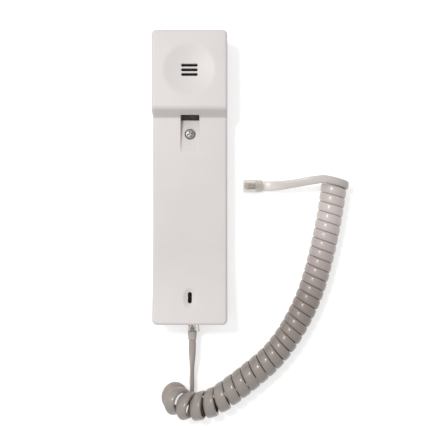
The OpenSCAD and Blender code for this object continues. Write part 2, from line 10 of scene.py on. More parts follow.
import bmesh
import bpy
import numpy as np
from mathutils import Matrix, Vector


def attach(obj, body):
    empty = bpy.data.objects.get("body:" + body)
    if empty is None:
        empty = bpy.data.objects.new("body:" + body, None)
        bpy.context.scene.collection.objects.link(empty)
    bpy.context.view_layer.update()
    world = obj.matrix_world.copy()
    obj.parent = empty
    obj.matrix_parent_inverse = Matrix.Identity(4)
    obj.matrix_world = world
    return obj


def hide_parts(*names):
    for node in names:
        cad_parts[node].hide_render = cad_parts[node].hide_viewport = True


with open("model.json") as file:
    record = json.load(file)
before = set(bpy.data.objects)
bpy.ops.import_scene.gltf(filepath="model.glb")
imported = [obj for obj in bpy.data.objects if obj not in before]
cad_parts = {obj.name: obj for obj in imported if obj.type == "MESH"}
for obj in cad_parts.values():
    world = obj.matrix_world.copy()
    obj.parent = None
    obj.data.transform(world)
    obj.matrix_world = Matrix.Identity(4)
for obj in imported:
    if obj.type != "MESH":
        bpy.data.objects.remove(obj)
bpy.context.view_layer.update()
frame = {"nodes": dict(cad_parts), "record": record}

scene = bpy.context.scene
scene.view_settings.view_transform = "Standard"
MM = 0.001
nodes = frame["nodes"]

# %% [markdown]
# ## The camera
# The photograph looks straight down on the table. Sides of the handset that lean towards the middle of the picture
# show how far away the lens was: about 42 cm. A Blender camera with no rotation already looks down its own -Z axis
# with +Y up, so only its place and its focal length are set.

# %% Camera
EYE = (18.7, -25.7, 420.0)
FOCAL_PX, FRAME_PX, SENSOR = 668.5, 442, 36.0
lens = bpy.data.cameras.new("photo_camera")
lens.sensor_width = SENSOR
lens.lens = FOCAL_PX / FRAME_PX * SENSOR
lens.clip_start, lens.clip_end = 0.01, 20.0
eye = bpy.data.objects.new("photo_camera", lens)
scene.collection.objects.link(eye)
eye.location = [c * MM for c in EYE]
scene.camera = eye
print("camera lens", round(lens.lens, 2), "mm")

# %% [markdown]
# ## Meshes from grids
# Nearly every surface here is a grid: rows and columns of points that a formula places, with a four-sided face
# between each set of neighbours. A row whose points all coincide makes a pole, and a wrapped grid closes on itself.
# Points that coincide are welded, so the result is one closed skin with its faces turned outwards.


# %% Points and faces
def points(x, y, z):
    """Points from three coordinates, each repeated along the rows or columns that it lacks."""
    return np.stack(np.broadcast_arrays(x, y, z), -1)


def once_round(count):
    """Evenly spaced angles of one full turn."""
    return np.linspace(0, math.tau, count, endpoint=False)


def grid_faces(rows, cols, wrap_rows=False, wrap_cols=False):
    """Corner numbers of each face: point (i, j), then the one in the next row, the diagonal one, and the one in the
    next column."""
    i = np.arange(rows if wrap_rows else rows - 1)[:, None]
    j = np.arange(cols if wrap_cols else cols - 1)[None, :]
    below, right = (i + 1) % rows, (j + 1) % cols
    corners = np.broadcast_arrays(i * cols + j, below * cols + j, below * cols + right, i * cols + right)
    return np.stack(corners, -1).reshape(-1, 4)


def new_mesh(name, places, faces):
    """A mesh from points in millimetres and the corner numbers of its faces."""
    mesh = bpy.data.meshes.new(name)
    mesh.from_pydata(places.reshape(-1, 3) * MM, [], faces)
    return mesh


def link_mesh(name, mesh):
    """A new object at the origin that shows this mesh."""
    piece = bpy.data.objects.new(name, mesh)
    scene.collection.objects.link(piece)
    return piece


print("a grid of 3 by 4 points has", len(grid_faces(3, 4)), "faces")


# %% Skins
def weld(mesh, distance=2e-6):
    """Merges points that coincide and turns every face of each closed skin outwards."""
    work = bmesh.new()
    work.from_mesh(mesh)
    bmesh.ops.remove_doubles(work, verts=work.verts, dist=distance)
    bmesh.ops.dissolve_degenerate(work, edges=work.edges, dist=distance * 0.5)
    bmesh.ops.recalc_face_normals(work, faces=work.faces)
    work.to_mesh(mesh)
    work.free()


def shade(mesh, angle):
    """Smooth shading, with a crease wherever two faces meet at more than this angle."""
    mesh.shade_smooth()
    mesh.set_sharp_from_angle(angle=math.radians(angle))


def skin(name, tubes, angle=32, ring=False):
    """One mesh from tubes of points. Each row closes round its columns, and in a ring the last row meets the
    first."""
    faces, count = [], 0
    for tube in tubes:
        rows, cols = tube.shape[:2]
        faces.append(grid_faces(rows, cols, ring, True) + count)
        count += rows * cols
    places = np.concatenate([tube.reshape(-1, 3) for tube in tubes])
    mesh = new_mesh(name, places, np.concatenate(faces).tolist())
    weld(mesh)
    shade(mesh, angle)
    return link_mesh(name, mesh)


def with_poles(rings):
    """A tube's rings with each end drawn together into its middle point, which closes it."""
    first, last = rings[:1].mean(1, keepdims=True), rings[-1:].mean(1, keepdims=True)
    width = rings.shape[1]
    return np.concatenate([np.repeat(first, width, 1), rings, np.repeat(last, width, 1)])


print("skins ready")


# %% Profiles
def unit(v):
    """Each vector divided by its own length."""
    return v / np.linalg.norm(v, axis=-1, keepdims=True)


def superellipse(a, b, power, count):
    """A rounded rectangle's outline: half sides a and b times the cosine and sine of an angle, each raised to 2 /
    power with its sign kept."""
    q = once_round(count)
    c, s = np.cos(q), np.sin(q)
    return np.stack([a * np.sign(c) * np.abs(c) ** (2 / power), b * np.sign(s) * np.abs(s) ** (2 / power)], -1)


def sweep(centres, across, through, outlines):
    """A profile carried along a path: each centre plus its outline's two numbers times the two directions there."""
    return centres[:, None] + outlines[..., :1] * across[:, None] + outlines[..., 1:] * through[:, None]


print("profiles ready")

# %% [markdown]
# ## The route of the cord
# The curly cord is one flat cord from plug to plug: a straight lead at the handset, thirty-one and a half curls whose
# middle line sweeps round in an arc, and a lead that leaves over the top of the last curl. The route repeats the
# solid model's own points, apart from a shift of up to two millimetres in the first curl. Near the handset the curls
# have fallen over like dominoes, so each point of the middle line also says how far the curls lean there and which
# way they face. Every point of the cord carries the direction of its width, so that the flat side faces outwards in
# the curls and turns over slowly along the leads.

# %% Points of the route
# Middle line of the curls: x, y, z, lean and facing, in degrees. Leads: x, y, z and roll.
CURL_AXIS = np.array([
    [-7, -130.6, 6.6, 62, 6], [-8.8, -132, 6.6, 60, 6], [-9.8, -132.8, 9.8, 54, 6], [-8.8, -133.6, 13, 48, 6],
    [-5.4, -136, 13.5, 42, 7], [0, -138.6, 12, 35, 9], [7, -138.7, 10.5, 24, 14], [13.8, -136.8, 9.7, 15, 22],
    [19.6, -133.6, 9.4, 10, 30], [25.2, -129.6, 9.2, 7, 35], [34.5, -122.6, 9.1, 5, 39], [48.5, -110.8, 8.7, 3, 44],
    [58.3, -99, 8.5, 0, 53], [65.8, -86.7, 8.3, 0, 60], [71.8, -74.4, 8.2, 0, 67], [76.3, -62, 8.1, 0, 72],
    [79.7, -49.7, 8.1, 0, 76], [82.6, -37.4, 8, 0, 78], [85.1, -25, 8.1, 0, 80], [87, -13.6, 8.2, 0, 81],
    [88.6, -1.6, 8.4, 0, 82]])
LEAD_HANDSET = np.array([
    [1, -91, 7.175, 90], [1, -94, 7.175, 80], [1, -98.6, 7.175, 54], [1, -103.6, 7.175, 48], [0.9, -108, 6.8, 54],
    [0.8, -112, 6, 66], [0.7, -116, 4.9, 78], [0.7, -120, 3.8, 86], [0.6, -123.6, 3.2, 80], [0.4, -126.8, 2.9, 70]])
LEAD_LINE = np.array([
    [82, -0.2, 15.9, 2], [76, -0.8, 15.7, -10], [70, -1.7, 14.4, -26], [64, -2.7, 11.9, -34], [58, -3.4, 8.6, -26],
    [53.5, -3.8, 5.4, -10], [49.5, -3.9, 3.2, 0], [44.2, -3.9, 2.45, 0], [40.4, -3.9, 2.45, 0]])
CORD_W, CORD_T, CORD_SIDES = 5.4, 2.7, 32
CURLS, CURL_R, PER_CURL = 31.5, 6.6, 48
TIGHT, LOOSE, TIGHT_FROM, EASE = 5.55, 1.8, 9.2, 1.9
FIRST_TIP, TIPPED_CURLS = -31, 2.8
FIRST_SHIFT, SHIFTED_CURLS = np.array([1.2, -1.6, -0.3]), 1.3
UP = np.array([0.0, 0.0, 1.0])
print("route points:", len(LEAD_HANDSET), "+", len(CURL_AXIS), "+", len(LEAD_LINE))


# %% Lines through points
def through_points(marks, steps):
    """A smooth curve through points: between two of them, a cubic whose slope at each is half the step across it."""
    p = np.vstack([2 * marks[0] - marks[1], marks, 2 * marks[-1] - marks[-2]])
    t = (np.arange(steps) / steps)[None, :, None]
    a, b, c, d = p[:-3, None], p[1:-2, None], p[2:-1, None], p[3:, None]
    curve = 0.5 * (2 * b + (c - a) * t + (2 * a - 5 * b + 4 * c - d) * t**2 + (3 * b - a - 3 * c + d) * t**3)
    return np.vstack([curve.reshape(-1, marks.shape[1]), marks[-1:]])


def lengths_along(line):
    """The length from the start to each point: a running sum of the steps."""
    return np.concatenate([[0], np.cumsum(np.linalg.norm(np.diff(line, axis=0), axis=1))])


def at_lengths(line, sums, s):
    """Each column of the line, read off at these lengths."""
    return np.stack([np.interp(s, sums, line[:, k]) for k in range(line.shape[1])], -1)


def tangents(line):
    """The direction of the run at each point: the step between its neighbours, made one long."""
    return unit(np.gradient(line, axis=0))


print("a curve through the middle line:", round(lengths_along(through_points(CURL_AXIS[:, :3], 24))[-1]), "mm")


# %% Curls and leads
def travelled(k):
    """Length of middle line used up by k curls. The gain per curl drops from loose to tight along an S-shaped step,
    and the sum of such a step is a softened corner."""
    softened = np.log((1 + np.exp((k - TIGHT_FROM) / EASE)) / (1 + np.exp(-TIGHT_FROM / EASE)))
    return TIGHT * k + LOOSE * (k - EASE * softened)


def curls(n):
    """Curl n goes once round the middle line, in a plane that leans back by the lean there and faces the given way.
    The radius grows a little in the fallen curls and at both ends. The width lies square to the run and to the
    outward direction, and is tipped over in the first curls."""
    axis = through_points(CURL_AXIS, 24)
    sums = lengths_along(axis[:, :3])
    s = travelled(n) * sums[-1] / travelled(CURLS)
    middle = at_lengths(axis, sums, s)
    lean, facing = np.radians(middle[:, 3:4]), np.radians(middle[:, 4:5])
    ahead = np.hstack([np.cos(facing), np.sin(facing), 0 * facing])
    angle = np.radians(270 + 360 * n)[:, None]
    out = np.cos(angle) * np.cross(ahead, UP) + np.sin(angle) * (np.cos(lean) * UP - np.sin(lean) * ahead)
    fallen, first = 0.9 * np.maximum(0, 1 - s / 90), 0.5 * np.maximum(0, 1 - n)
    last = 1.5 * np.maximum(0, n - CURLS + 0.7)
    radius = CURL_R + fallen + first + last
    shift = FIRST_SHIFT * np.exp(-((n / SHIFTED_CURLS) ** 4))[:, None]
    line = middle[:, :3] + radius[:, None] * out + shift
    run = tangents(line)
    face = unit(out - np.sum(out * run, 1, keepdims=True) * run)
    tip = math.radians(FIRST_TIP) * np.exp(-((n / TIPPED_CURLS) ** 4))[:, None]
    return line, np.cos(tip) * np.cross(run, face) + np.sin(tip) * face


def lead(marks):
    """A lead's curve and its width: level and square to the run, then rolled about the run by the fourth number."""
    curve = through_points(marks, 12)
    line, roll = curve[:, :3], np.radians(curve[:, 3:])
    run = tangents(line)
    level = unit(np.cross(UP, run))
    return line, np.cos(roll) * level + np.sin(roll) * np.cross(run, level)


def roll_at_start(line, width):
    """The roll that a lead needs to meet this line's first width: its angle from level, about the run."""
    run = tangents(line)[0]
    level = unit(np.cross(UP, run))
    return math.degrees(math.atan2(width[0] @ np.cross(run, level), width[0] @ level))


coil_line, coil_width = curls(np.arange(0, CURLS + 0.5 / PER_CURL, 1 / PER_CURL))
lead_a, width_a = lead(np.vstack([LEAD_HANDSET, np.append(coil_line[0], roll_at_start(coil_line, coil_width))]))
lead_b, width_b = lead(np.vstack([np.append(coil_line[-1], 0), LEAD_LINE]))
width_b = width_b * np.sign(width_b[0] @ coil_width[-1])
print("points in lead, curls and lead:", len(lead_a), len(coil_line), len(lead_b))

# %% [markdown]
# ## Joining the route
# The three stretches are joined, and points are set along them at even steps. A short stretch about each join is
# smoothed, so that the cord has no corner there. Neighbouring curls lie close, and a strip of full width would run
# into the next one. So the room beside each point is measured too, and the strip is later made no wider than that.


# %% Joined route
FREE, CLEARANCE = 99.0, 0.2
RING_STEP, JOIN_SPAN, JOIN_PASSES, JOIN_RATE = 0.85, 5.0, 60, 0.25


def room_between(line, width):
    """How wide the band may be: the distance along its width to the same place on the next curl or the one before.
    Where that curl lies flat over this one, a thickness or more away, the width is free."""
    apart = line[PER_CURL:] - line[:-PER_CURL]
    across = unit(width[PER_CURL:] + width[:-PER_CURL])
    beside = np.abs(np.sum(apart * across, 1))
    over = np.abs(np.sum(apart * np.cross(tangents(line), width)[PER_CURL:], 1))
    step = np.where(over > CORD_T + CLEARANCE, FREE, beside)
    ends = np.full(PER_CURL, FREE)
    return np.minimum(np.append(step, ends), np.append(ends, step))


def eased(line, amount):
    """Moves each inner point towards the middle of its two neighbours, by this amount."""
    line[1:-1] += JOIN_RATE * amount[1:-1] * (line[:-2] - 2 * line[1:-1] + line[2:])


rough = np.vstack([lead_a[:-1], coil_line, lead_b[1:]])
rough_width = np.vstack([width_a[:-1], coil_width, width_b[1:]])
lead_sizes = len(lead_a) - 1, len(lead_b) - 1
rough_room = np.pad(room_between(coil_line, coil_width), lead_sizes, constant_values=FREE)
rough_sums = lengths_along(rough)
joins = rough_sums[[lead_sizes[0], lead_sizes[0] + len(coil_line) - 1]]
steps = np.linspace(0, rough_sums[-1], int(rough_sums[-1] / RING_STEP))
path = at_lengths(rough, rough_sums, steps)
cord_width = unit(at_lengths(rough_width, rough_sums, steps))
cord_room = np.interp(steps, rough_sums, rough_room)
near_join = np.exp(-(((steps[:, None] - joins) / JOIN_SPAN) ** 2)).max(1)[:, None]
for _ in range(JOIN_PASSES):
    eased(path, near_join)
    eased(cord_width, near_join)
run = tangents(path)
cord_width = unit(cord_width - np.sum(cord_width * run, 1, keepdims=True) * run)
cord_length = lengths_along(path)[-1]
print("cord length", round(cord_length), "mm in", len(path), "rings")

# %% [markdown]
# ## The cord's skin
# The cord is a flat strip with full round edges, twice as wide as it is thick. A superellipse, an ellipse with fuller
# corners, gives that profile with one number, and it is carried along the route ring by ring. Where the curls lie
# loose they open flat and look wider, and where the last one is pulled over into the lead it rolls up, so the sides
# and the roundness of the edges follow the length. The room between two curls limits the width. The UV map counts
# millimetres along and round the cord, so that the finish can follow every curl.

# %% Cord mesh
ROUND_POWER, SQUARE_POWER, SQUARE_FROM, SQUARE_OVER = 2.9, 3.5, 1.04, 0.22
GAP, NARROWEST, SMOOTHED, GIRTH = 0.08, 0.8, 9, 13.4
into, out_of = joins
sides = np.array([  # length along the cord, share of the width, share of the thickness
    (0, 1, 1), (into, 1, 1), (into + 25, 1.14, 1.04), (into + 100, 1.27, 1.04), (into + 380, 1.27, 1.06),
    (into + 600, 1.06, 1), (out_of - 26, 1.04, 1), (out_of - 8, 0.86, 1.2), (out_of + 4, 0.86, 1.2),
    (out_of + 24, 1, 1), (cord_length, 1.14, 1)])
wider, thicker = (np.interp(steps, sides[:, 0], sides[:, k]) for k in (1, 2))
wider = np.minimum(wider, np.maximum((cord_room - GAP) / CORD_W, NARROWEST))
wider = np.convolve(np.pad(wider, SMOOTHED // 2, mode="edge"), np.full(SMOOTHED, 1 / SMOOTHED), mode="valid")
square = np.clip((wider - SQUARE_FROM) / SQUARE_OVER, 0, 1)[:, None, None]
round_edged, square_edged = (
    superellipse(CORD_W / 2, CORD_T / 2, power, CORD_SIDES) for power in (ROUND_POWER, SQUARE_POWER))
outlines = (round_edged * (1 - square) + square_edged * square) * np.stack([wider, thicker], -1)[:, None]
rings = sweep(path, cord_width, np.cross(run, cord_width), outlines)
cord_grid = with_poles(rings)
cord_quads = grid_faces(*cord_grid.shape[:2], wrap_cols=True)
cord_mesh = new_mesh("curly_cord", cord_grid, cord_quads.tolist())
row, col = np.divmod(np.arange(len(cord_quads)), CORD_SIDES)
along = np.concatenate([[0], lengths_along(path), [cord_length]])
u = along[np.stack([row, row + 1, row + 1, row], -1)]
v = np.stack([col, col, col + 1, col + 1], -1) * (GIRTH / CORD_SIDES)
cord_mesh.uv_layers.new(name="along_cord").data.foreach_set("uv", np.stack([u, v], -1).ravel().astype(np.float32))
weld(cord_mesh)
shade(cord_mesh, 70)
cord = link_mesh("curly_cord", cord_mesh)
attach(cord, "cord")
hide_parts("cord_lead_handset", "cord_coil", "cord_lead_line")
print("cord faces", len(cord_mesh.polygons), "lowest point", round(rings[..., 2].min(), 2), "mm")

# %% [markdown]
# ## The shape of the covers
# The handset is a slim moulded box in two halves. Seen from the side, the front rises in a long arc at the mouth,
# runs flat along the grip, and steps up steeply to the ear block. A round dish is pressed into the ear face and an
# oval dimple into the mouth end. Box modelling with bevels could make this, but the dish and the dimple are exact
# surfaces, so the height of the front is worked out as one formula of x and y.

# %% Height of the front
HALF_W, HALF_L, CORNER, SPLIT, WALL = 22.5, 87.5, 3.0, 10.0, 2.0
GRIP_Z, EAR_Z = 17.0, 26.0
CHIN_Y, CHIN_R = -40.0, 164.66
FOOT_Y, FOOT_R, SLOPE = 36.7, 1.1, math.radians(65.7)
EDGE_Y, EDGE_R, EDGE_FROM = 42.7, 3.0, math.radians(156)
EAR_Y, DISH_R, DISH_DEPTH, DISH_REACH = 63.8, 71.11, 1.6, 40.0
MOUTH_Y, MOUTH_Z = -71.8, 20.1
MOUTH_TILT = math.asin((CHIN_Y - MOUTH_Y) / CHIN_R)
DIMPLE_RING, DIMPLE_TUBE, DIMPLE_DEPTH, DIMPLE_REACH = 7.93, 6.17, 1.27, 9.0
DISH_EDGE, DIMPLE_EDGE, FAR_ABOVE = 0.09, 0.07, 99.0


def side_line():
    """The front seen from the side: an arc at the mouth, a flat grip, a small hollow at the foot of the step, a slope
    of about 66 degrees, and a rounded edge to the flat ear face."""
    y = np.linspace(-HALF_L - 1, CHIN_Y, 80)
    arc = np.stack([y, GRIP_Z + CHIN_R - np.sqrt(CHIN_R**2 - (CHIN_Y - y) ** 2)], -1)
    a = np.linspace(0, SLOPE, 9)
    foot_y = FOOT_Y - FOOT_R * math.tan(SLOPE / 2) + FOOT_R * np.sin(a)
    foot = np.stack([foot_y, GRIP_Z + FOOT_R * (1 - np.cos(a))], -1)
    b = np.linspace(EDGE_FROM, math.pi / 2, 14)
    edge = np.stack([EDGE_Y + EDGE_R * np.cos(b), EAR_Z - EDGE_R + EDGE_R * np.sin(b)], -1)
    return np.vstack([arc, foot, edge, [[HALF_L + 1, EAR_Z]]])


SIDE = side_line()


def soft_lower(a, b, width):
    """The lower of two heights, with the corner between them rounded off over this width."""
    return -width * np.logaddexp(-a / width, -b / width)


def front_height(x, y):
    """The side line at y, lowered to a sphere's cap at the ear and to a tilted ring's hollow at the mouth. The tilt
    makes the place along the dimple depend on its depth, so the two are worked out in turn three times."""
    z = np.interp(y, SIDE[:, 0], SIDE[:, 1])
    away = np.minimum(x**2 + (y - EAR_Y) ** 2, DISH_REACH**2)
    z = soft_lower(z, EAR_Z - DISH_DEPTH + DISH_R - np.sqrt(DISH_R**2 - away), DISH_EDGE)
    across = DIMPLE_RING + np.sqrt(np.maximum(DIMPLE_TUBE**2 - x**2, 0))
    deep = np.zeros(np.broadcast(x, y).shape)
    for _ in range(3):
        along_face = (y - MOUTH_Y - deep * math.sin(MOUTH_TILT)) / math.cos(MOUTH_TILT)
        deep = DIMPLE_RING + DIMPLE_TUBE - DIMPLE_DEPTH - np.sqrt(np.maximum(across**2 - along_face**2, 0))
    hollow = MOUTH_Z - along_face * math.sin(MOUTH_TILT) + deep * math.cos(MOUTH_TILT)
    in_reach = (np.abs(x) < DIMPLE_TUBE) & (np.abs(along_face) < DIMPLE_REACH)
    return soft_lower(z, np.where(in_reach, hollow, FAR_ABOVE), DIMPLE_EDGE)


tried = np.array([0.0, EAR_Y, MOUTH_Y])
print("height at grip, ear dish and mouth:", front_height(0 * tried, tried).round(2).tolist())

# %% [markdown]
# ## A moulded box as one grid
# A sheet of grid lines is laid over the whole front and folded down at the rim. Near a corner, squares of the sheet
# become rings about the corner's centre, so the rounded corner has no pinched faces. The last lines before the rim
# follow a quarter circle, which is the soft edge of the moulding, and the lines after it run down the wall to the
# parting line.

# %% Lines of the sheet
WALL_ROWS, GROOVE = np.array([0.3, 0.6, 0.9, 0.97, 1.0]), 0.22


def spread(*spans):
    """Grid lines: for each span (from, to, step) evenly spaced values, joined without repeats."""
    parts = [np.linspace(a, b, max(2, int(round(abs(b - a) / s)) + 1)) for a, b, s in spans]
    return np.unique(np.round(np.concatenate(parts), 5))


def sheet_lines(inner, half, fillet):
    """All lines of one direction: those of the flat part, the insets of a quarter circle up to the edge, and one line
    per wall row outside it, the same on both sides."""
    insets = fillet * (1 - np.cos(np.linspace(math.pi / 2, 0, 9)[1:]))
    rim, flat = np.concatenate([half - insets, half + CORNER * WALL_ROWS]), half - fillet
    inner = inner[np.abs(inner) <= flat + 1e-6]
    return np.unique(np.round(np.concatenate([-rim, inner, rim, [-flat, flat]]), 6))


print("rows down each wall:", len(WALL_ROWS))


# %% Moulded box
def moulded_box(inner_x, inner_y, fillet, crown, foot):
    """Each line's distance past the corner's centre, as a share of the corner radius, is p across and q along. The
    larger of the two is the ring number: below 1 it is a place on the top, above 1 a place down the wall. Within a
    ring the angle is 45 degrees times the smaller share over the larger. The top drops by a circle's sagitta near the
    edge."""
    gx, gy = np.meshgrid(sheet_lines(inner_x, HALF_W, fillet), sheet_lines(inner_y, HALF_L, fillet))
    centre_x, centre_y = HALF_W - CORNER, HALF_L - CORNER
    p = np.maximum(np.abs(gx) - centre_x, 0) / CORNER
    q = np.maximum(np.abs(gy) - centre_y, 0) / CORNER
    ring = np.maximum(p, q)
    share = np.minimum(p, q) / np.maximum(ring, 1e-9)
    angle = np.where(p >= q, share, 2 - share) * math.pi / 4
    down = np.clip(ring - 1, 0, 1)
    reach = CORNER * np.minimum(ring, 1) - GROOVE * (down > 0.999)
    x = np.sign(gx) * (np.minimum(np.abs(gx), centre_x) + reach * np.cos(angle))
    y = np.sign(gy) * (np.minimum(np.abs(gy), centre_y) + reach * np.sin(angle))
    inset = CORNER * (1 - np.minimum(ring, 1))
    drop = fillet - np.sqrt(np.maximum(fillet**2 - np.maximum(fillet - inset, 0) ** 2, 0))
    return points(x, y, (crown(x, y) - drop) * (1 - down) + foot * down), down


def hollowed(outer, down, ceiling, foot):
    """The inside of a folded sheet: each point drawn towards the middle by the wall, the top at its own inner height,
    and the rows of the wall running down from there."""
    x, y = outer[..., 0] * (1 - WALL / HALF_W), outer[..., 1] * (1 - WALL / HALF_L)
    return points(x, y, ceiling(x, y) * (1 - down) + foot * down)


def boxed(name, outer, inner):
    """Two folded sheets, one inside the other, joined along their rims into one hollow moulding."""
    rows, cols = outer.shape[:2]
    number = np.arange(rows * cols).reshape(rows, cols)
    rim = np.concatenate([number[0, :-1], number[:-1, -1], number[-1, :0:-1], number[:0:-1, 0]])
    after, count = np.roll(rim, -1), rows * cols
    sheet = grid_faces(rows, cols)
    lip = np.stack([rim, after, after + count, rim + count], -1)
    faces = np.concatenate([sheet, sheet[:, ::-1] + count, lip])
    mesh = new_mesh(name, np.concatenate([outer, inner]), faces.tolist())
    weld(mesh)
    return link_mesh(name, mesh)


print("moulded box ready")

# %% Sheets of the front cover
FRONT_FILLET, CEILING_SHIFT, EAR_CEILING = 1.7, 1.2, 22.4


def front_ceiling(x, y):
    """The inside of the front: the side line two millimetres lower, and thicker behind the ear dish."""
    return np.minimum(np.interp(y - CEILING_SHIFT, SIDE[:, 0], SIDE[:, 1]) - WALL, EAR_CEILING)


front_x = spread((-21.5, -17, 0.9), (-17, 17, 0.6), (17, 21.5, 0.9))
front_y = spread((-86.5, -82, 0.9), (-82, -61, 0.5), (-61, -40, 1.5), (-40, 35, 2.5), (35, 45, 0.22), (45, 82, 0.6),
                 (82, 86.5, 0.9))
front_sheet, front_down = moulded_box(front_x, front_y, FRONT_FILLET, front_height, SPLIT)
front = boxed("front_cover", front_sheet, hollowed(front_sheet, front_down, front_ceiling, SPLIT))
print("front cover sheets:", len(front.data.polygons), "faces")

# %% [markdown]
# ## Solids that cut and fill
# The cover has bosses inside and holes through it: three sound slots, the mouth slot, the ramp and pocket for the
# wall hook with a slot in its floor, the screw's well, and the way for the plug. Each is a simple solid of its own,
# and Boolean modifiers add or subtract it. Drawing the holes into the sheet itself would tie its grid lines to every
# outline. The slot cutters follow the height of the front and flare at the rim, so every hole has a soft moulded lip.


# %% Slots, prisms and turned solids
def slot_cutter(name, centre, length, width, turned, floor, lip=0.3):
    """A slot's outline is a straight stretch with a half circle on each end, given by one angle. Its rings are wide
    above the front, drawn in along a quarter circle at the lip, and straight below."""
    q = once_round(56)
    outward = np.stack([np.cos(q), np.sin(q)], -1)
    outline = np.stack([np.sign(np.cos(q)) * (length - width) / 2 + width / 2 * np.cos(q), width / 2 * np.sin(q)], -1)
    a = np.radians([75, 60, 45, 30, 15, 0])
    depth = np.concatenate([[-0.8], lip * (1 - np.sin(a)), [0.0]])
    grow = np.concatenate([[lip * (1 - math.cos(a[0]))], lip * (1 - np.cos(a)), [0.0]])
    ring = outline[None] + grow[:, None, None] * outward[None]
    ring = ring[..., ::-1] if turned else ring
    x, y = ring[..., 0] + centre[0], ring[..., 1] + centre[1]
    z = front_height(x, y) - depth[:, None]
    z[-1] = floor
    return skin(name, [with_poles(points(x, y, z))])


def prism(name, half, outline):
    """A straight solid: an outline of (y, z) points, the same on its left and right face."""
    rim = np.asarray(outline, float)
    count = len(rim)
    sides = np.concatenate([points(x, rim[:, 0], rim[:, 1]) for x in (-half, half)])
    ends = [list(range(count)), list(range(2 * count - 1, count - 1, -1))]
    mesh = new_mesh(name, sides, grid_faces(2, count, wrap_cols=True).tolist() + ends)
    weld(mesh)
    return link_mesh(name, mesh)


def turned_solid(name, y, profile, count=64, ring=False):
    """A solid of revolution about an upright line at x = 0 and this y: each (radius, z) of the profile swept through
    a full circle. A ring's profile closes on itself, any other is closed at both ends."""
    a = once_round(count)
    r, z = np.asarray(profile, float).T[..., None]
    grid = points(r * np.cos(a), y + r * np.sin(a), z)
    return skin(name, [grid if ring else with_poles(grid)], ring=ring)


print("slot, prism and turned solid ready")

# %% Hook recess
HOOK_HALF, HOOK_DEEP_Y, HOOK_FLOOR, HOOK_ROOF, HOOK_RISE, HOOK_RUN = 5.65, 35.6, 12, 19.5, 5, 19.6


def hook_floor(y):
    """The floor of the hook's recess: level at the deep end, and rising in a straight ramp towards the mouth."""
    return HOOK_FLOOR + np.maximum(HOOK_DEEP_Y - y, 0) * HOOK_RISE / HOOK_RUN


def hook_ramp(name):
    """The ramp: at each y a trough whose floor falls from the grip, with hollow corners below and a flared lip
    above."""
    y = np.concatenate([np.linspace(14.6, HOOK_DEEP_Y, 22), [36.6]])[:, None]
    hollow, lip, above = 0.5, 0.35, 22.0
    a, b = np.linspace(0, math.pi / 2, 6), np.linspace(0, math.radians(75), 6)
    corner, flare = HOOK_HALF - hollow + hollow * np.sin(a), HOOK_HALF + lip * (1 - np.cos(b))
    x = np.concatenate([[0], corner, flare, [HOOK_HALF + lip * 0.75]])
    low = np.concatenate([[0], hollow * (1 - np.cos(a))])
    high = np.concatenate([GRIP_Z - lip + lip * np.sin(b), [above]])
    z = np.hstack([hook_floor(y) + low, np.maximum(high, hook_floor(y) + hollow + 0.02)])
    right = points(x, y, z)
    left = right[:, :0:-1] * [-1, 1, 1]
    return skin(name, [with_poles(np.concatenate([right, left], 1))])


def hook_hole(name):
    """The pocket under the ear block: floor and roof along y, with the roof lifted in a soft curve at its mouth."""
    y = np.array([33.0, 36.4, 37.0, 37.4, 37.7, 38.0, 38.3, 38.7, 46.1])
    roof = HOOK_ROOF + np.array([0.5, 0.5, 0.4, 0.28, 0.17, 0.08, 0.02, 0, 0])
    floor = hook_floor(y) + 0.001
    corners = (-HOOK_HALF, floor), (HOOK_HALF, floor), (HOOK_HALF, roof), (-HOOK_HALF, roof)
    return skin(name, [with_poles(np.stack([points(x, y, z) for x, z in corners], 1))])


print("hook floor at the grip and at the deep end:", hook_floor(np.array([16.0, HOOK_DEEP_Y])).round(2).tolist())

# %% Mouth boss and plug way
BOSS_FOOT, BOSS_SKIN = 12.6, 0.5
PLUG_WAY = np.array([
    [-2.05, 2.9], [3.9, 2.9], [3.9, 4.78], [6.75, 4.78], [6.75, 9.58], [3.9, 9.58], [3.9, 11.45], [-2.05, 11.45]])
WAY_MIDDLE, WAY_OUT, WAY_IN = (0.9, 7.175), -92.0, -83.0


def mouth_boss(name):
    """A round boss whose top follows the front's height from below, so that it meets the dimple's thin wall."""
    a = once_round(64)
    r = np.array([7.75, 7.75, 6.5, 5.0, 3.5, 2.0, 0.7])[:, None]
    x, y = r * np.cos(a), MOUTH_Y + r * np.sin(a)
    z = front_height(x, y) - BOSS_SKIN
    z[0] = BOSS_FOOT
    return skin(name, [with_poles(points(x, y, z))])


def plug_way(name):
    """Opening for the plug and its lever through the mouth end: an outline of (x, z) carried along y, and closed at
    both ends towards its middle."""
    middle = np.full(PLUG_WAY.shape, WAY_MIDDLE)
    outline = np.stack([middle, PLUG_WAY, PLUG_WAY, middle])
    y = np.array([WAY_OUT, WAY_OUT, WAY_IN, WAY_IN])[:, None]
    return skin(name, [points(outline[..., 0], y, outline[..., 1])])


print("plug way outline:", len(PLUG_WAY), "corners")


# %% Boolean steps
def carve(piece, steps):
    """Applies Boolean steps (operation, solid) in order, keeps the finished mesh and removes the solids."""
    for operation, solid in steps:
        step = piece.modifiers.new("cut", "BOOLEAN")
        step.operation, step.object, step.solver = operation, solid, "MANIFOLD"
    made = bpy.data.meshes.new_from_object(piece.evaluated_get(bpy.context.evaluated_depsgraph_get()))
    piece.modifiers.clear()
    piece.data = made
    for _, solid in steps:
        bpy.data.objects.remove(solid)
    weld(made, 1e-6)
    shade(made, 30)
    return piece


print("Boolean steps ready")

# %% [markdown]
# ## Cutting the front cover
# First the tray of the hook's recess, the screw's boss, the boss behind the mouth slot and the collar round the
# speaker are added, because a real cover is moulded with them. Then every hole is taken out, so that a hole also
# passes through whatever was added. The result is kept as a plain mesh.

